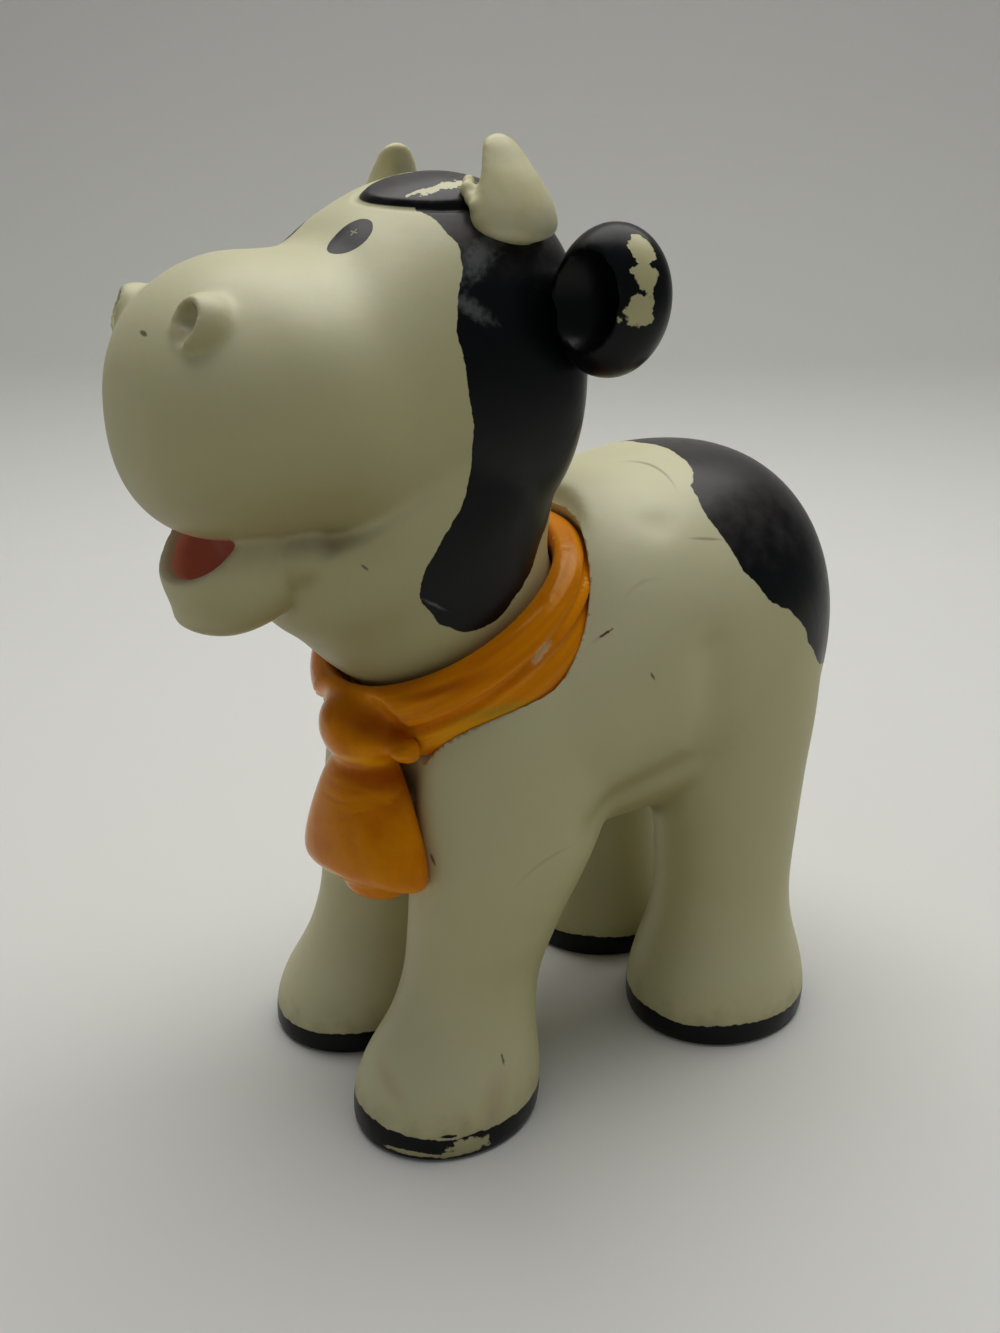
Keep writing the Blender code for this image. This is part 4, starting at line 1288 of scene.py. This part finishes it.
def head_material():
    paint = Paint("cow_head_vinyl", **VINYL)
    wobble = paint.waves(HEAD_EDGE_NOISE)
    chipped = paint.waves(HEAD_CHIP_NOISE)
    inside = paint.add(paint.value("mouth"), paint.waves(MOUTH_EDGE_NOISE))
    rise = paint.add(paint.value("height"), paint.times(wobble, 0.5))
    flesh = paint.mix(paint.step(rise, *PALATE_MM), MOUTH_RED, MOUTH_PINK)
    blush = paint.times(paint.step(inside, *MOUTH_BLUSH), 0.35)
    colour = paint.mix(blush, cream_colour(paint), MOUTH_PINK)
    colour = paint.mix(paint.step(inside, *MOUTH_PAINT), colour, flesh)
    # Painted shade inside the nostril holes and in the cheek's fold, over small marks on the nose
    nostril_shade = paint.times(paint.step(paint.value("nostril"), -0.1, 0.25), 0.7)
    colour = paint.with_wear_and_light(paint.mix(nostril_shade, colour, GRIME_AND_SHADE), HEAD_WEAR_AND_SHADE)
    face = paint.edge(paint.add(paint.value("face"), wobble), 0.05)
    eye = paint.edge(paint.add(paint.value("eye"), paint.times(wobble, 0.2)), 0.03)
    black = paint.most(face, paint.edge(paint.value("forelock"), 0.02), eye)
    black = paint.less(black, paint.marks(FORELOCK_CHIPS, 0.1, chipped))
    black = paint.less(black, paint.times(glint(paint), GLINT_STRENGTH))
    scuffs_and_sheen = paint.times(paint.marks(PATCH_SCUFFS_AND_SHEEN, 0.8, chipped), 0.75)
    return coat(paint, colour, black, scuffs_and_sheen, paint.blend(eye, 1, 0.1))


def ear_material():
    paint = Paint("ear_black_vinyl", **VINYL)
    wear = paint.add(paint.value("wear"), paint.waves(EAR_EDGE_NOISE))
    return coat(paint, cream_colour(paint), paint.step(wear, 0.08, -0.08))


def horn_material():
    paint = Paint("horn_vinyl", **VINYL)
    colour = paint.mix(paint.step(paint.noise(2.5 * MM), -1, 1), HORN_CREAM, HORN_DEEP)
    rough = paint.add(CREAM_ROUGHNESS, paint.waves(HORN_ROUGH_NOISE))
    return paint.finish(colour, rough, paint.waves(RELIEF_NOISE))


def tail_material():
    paint = Paint("tail_vinyl", **VINYL)
    tuft = paint.add(paint.times(paint.value("height"), -1), TUFT_MM, paint.waves(TUFT_EDGE_NOISE))
    return coat(paint, cream_colour(paint), paint.edge(tuft, 0.08))


def scarf_material():
    paint = Paint("scarf_paint", **GLOSSY)
    ring = paint.combine(paint.times(paint.value("turn"), 2.2), paint.value("up"), paint.value("reach"))
    along_ring = paint.noise(1, 3, stretch=(0.5, 1.1, 1.1), place=ring)
    blotches = paint.noise(3.5 * MM, 3)
    streaks = paint.blend(paint.value("on_ring"), blotches, along_ring)
    pale = paint.step(paint.add(paint.noise(5 * MM), paint.times(streaks, 0.4)), 0.4, 1.7)
    colour = paint.mix(paint.step(streaks, -1.3, 0.9), ORANGE_DEEP, ORANGE)
    colour = paint.mix(paint.times(pale, 0.6), colour, ORANGE_PALE)
    # Painted shade and highlights on the folds, and a green tint at the lower edge
    colour = paint.with_wear_and_light(colour, SCARF_LIGHT_SHADE_AND_TINT)
    colour = paint.with_wear_and_light(colour, SCARF_CHIPPED, paint.waves(SCARF_CHIP_NOISE))
    rough = paint.add(SCARF_ROUGHNESS, paint.times(blotches, 0.03))
    relief = paint.add(paint.times(streaks, 0.015), paint.times(blotches, 0.04))
    return paint.finish(colour, rough, relief)


# Stage
def view_frame():
    """A frame whose Y looks away from the camera along the floor."""
    return Matrix.Rotation(CAMERA_AZIMUTH, 4, "Z")


def build_stage():
    """A pale table that runs back and curves up into a wall, painted greyer up the wall as painted shade.
    """
    profile = [(-STAGE_HALF, 0)]
    for k in range(STAGE_STEPS + 1):
        turn = UPRIGHT * k / STAGE_STEPS
        y = WALL_BACK - STAGE_CURVE + STAGE_CURVE * math.sin(turn)
        profile.append((y, STAGE_CURVE - STAGE_CURVE * math.cos(turn)))
    profile.append((WALL_BACK, STAGE_HALF))
    bm = bmesh.new()
    sides = []
    for x in (-STAGE_HALF, STAGE_HALF):
        sides.append([bm.verts.new(view_frame() @ Vector((x, y, z))) for y, z in profile])
    for k in range(len(profile) - 1):
        bm.faces.new((sides[0][k], sides[1][k], sides[1][k + 1], sides[0][k + 1]))
    table = add_object("table", bm)
    table.data.shade_smooth()
    keep_values(table, height=points_of(table)[:, 2] / MM)
    paint = Paint("table")
    # Painted shade darkening the backdrop up the wall
    tone = paint.mix(paint.step(paint.value("height"), 0, WALL_FROM_MM), TABLE_COLOUR, WALL_SHADE_COLOUR)
    table.data.materials.append(paint.finish(tone, STAGE_ROUGHNESS, paint.waves(TABLE_NOISE)))


def aim(thing, place, way):
    """Puts a lamp or the camera in its place, looking along the way."""
    bpy.context.scene.collection.objects.link(thing)
    thing.location = place
    thing.rotation_mode = "QUATERNION"
    thing.rotation_quaternion = way.to_track_quat("-Z", "Y")


def build_camera():
    camera = bpy.data.cameras.new("camera")
    camera.sensor_width = SENSOR
    camera.lens = SENSOR * FOCAL_SHARE
    camera.clip_start = NEAREST
    made = bpy.data.objects.new("camera", camera)
    aim(made, CAMERA_PLACE, -seen_from())
    bpy.context.scene.camera = made


def light_stage():
    world = bpy.data.worlds.new("room")
    world.use_nodes = True
    sky = world.node_tree.nodes["Background"]
    sky.inputs["Color"].default_value = ROOM_COLOUR
    sky.inputs["Strength"].default_value = ROOM_STRENGTH
    bpy.context.scene.world = world
    lamp = bpy.data.lights.new("ceiling", "AREA")
    lamp.shape = "DISK"
    lamp.size = KEY_SIZE
    lamp.energy = KEY_WATTS
    lamp.color = KEY_COLOUR
    place = view_frame() @ KEY_PLACE
    aim(bpy.data.objects.new("ceiling", lamp), place, view_frame() @ KEY_AIM - place)
    bpy.context.scene.view_settings.view_transform = "Standard"


def dress(thing, body, slot_name, skin, *nodes):
    thing.data.materials.clear()
    thing.data.materials.append(skin)
    thing.data.shade_smooth()
    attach(thing, body)
    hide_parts(*nodes)


def main():
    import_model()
    dress(build_body(), "body", "cream_vinyl", body_material(), "body_shell")
    dress(build_scarf(), "body", "orange_vinyl", scarf_material(), "scarf")
    dress(build_tail(), "body", "cream_vinyl", tail_material(), "tail")
    dress(build_head(), "head", "cream_vinyl", head_material(), "head_shell")
    horn_skin = horn_material()
    ear_skin = ear_material()
    for word, side in (("left", 1), ("right", -1)):
        dress(horn("fine_horn_" + word, side), "head", "horn_vinyl", horn_skin, "horn_" + word)
        dress(ear("fine_ear_" + word, side), "head", "black_vinyl", ear_skin, "ear_" + word)
    build_stage()
    build_camera()
    light_stage()


main()
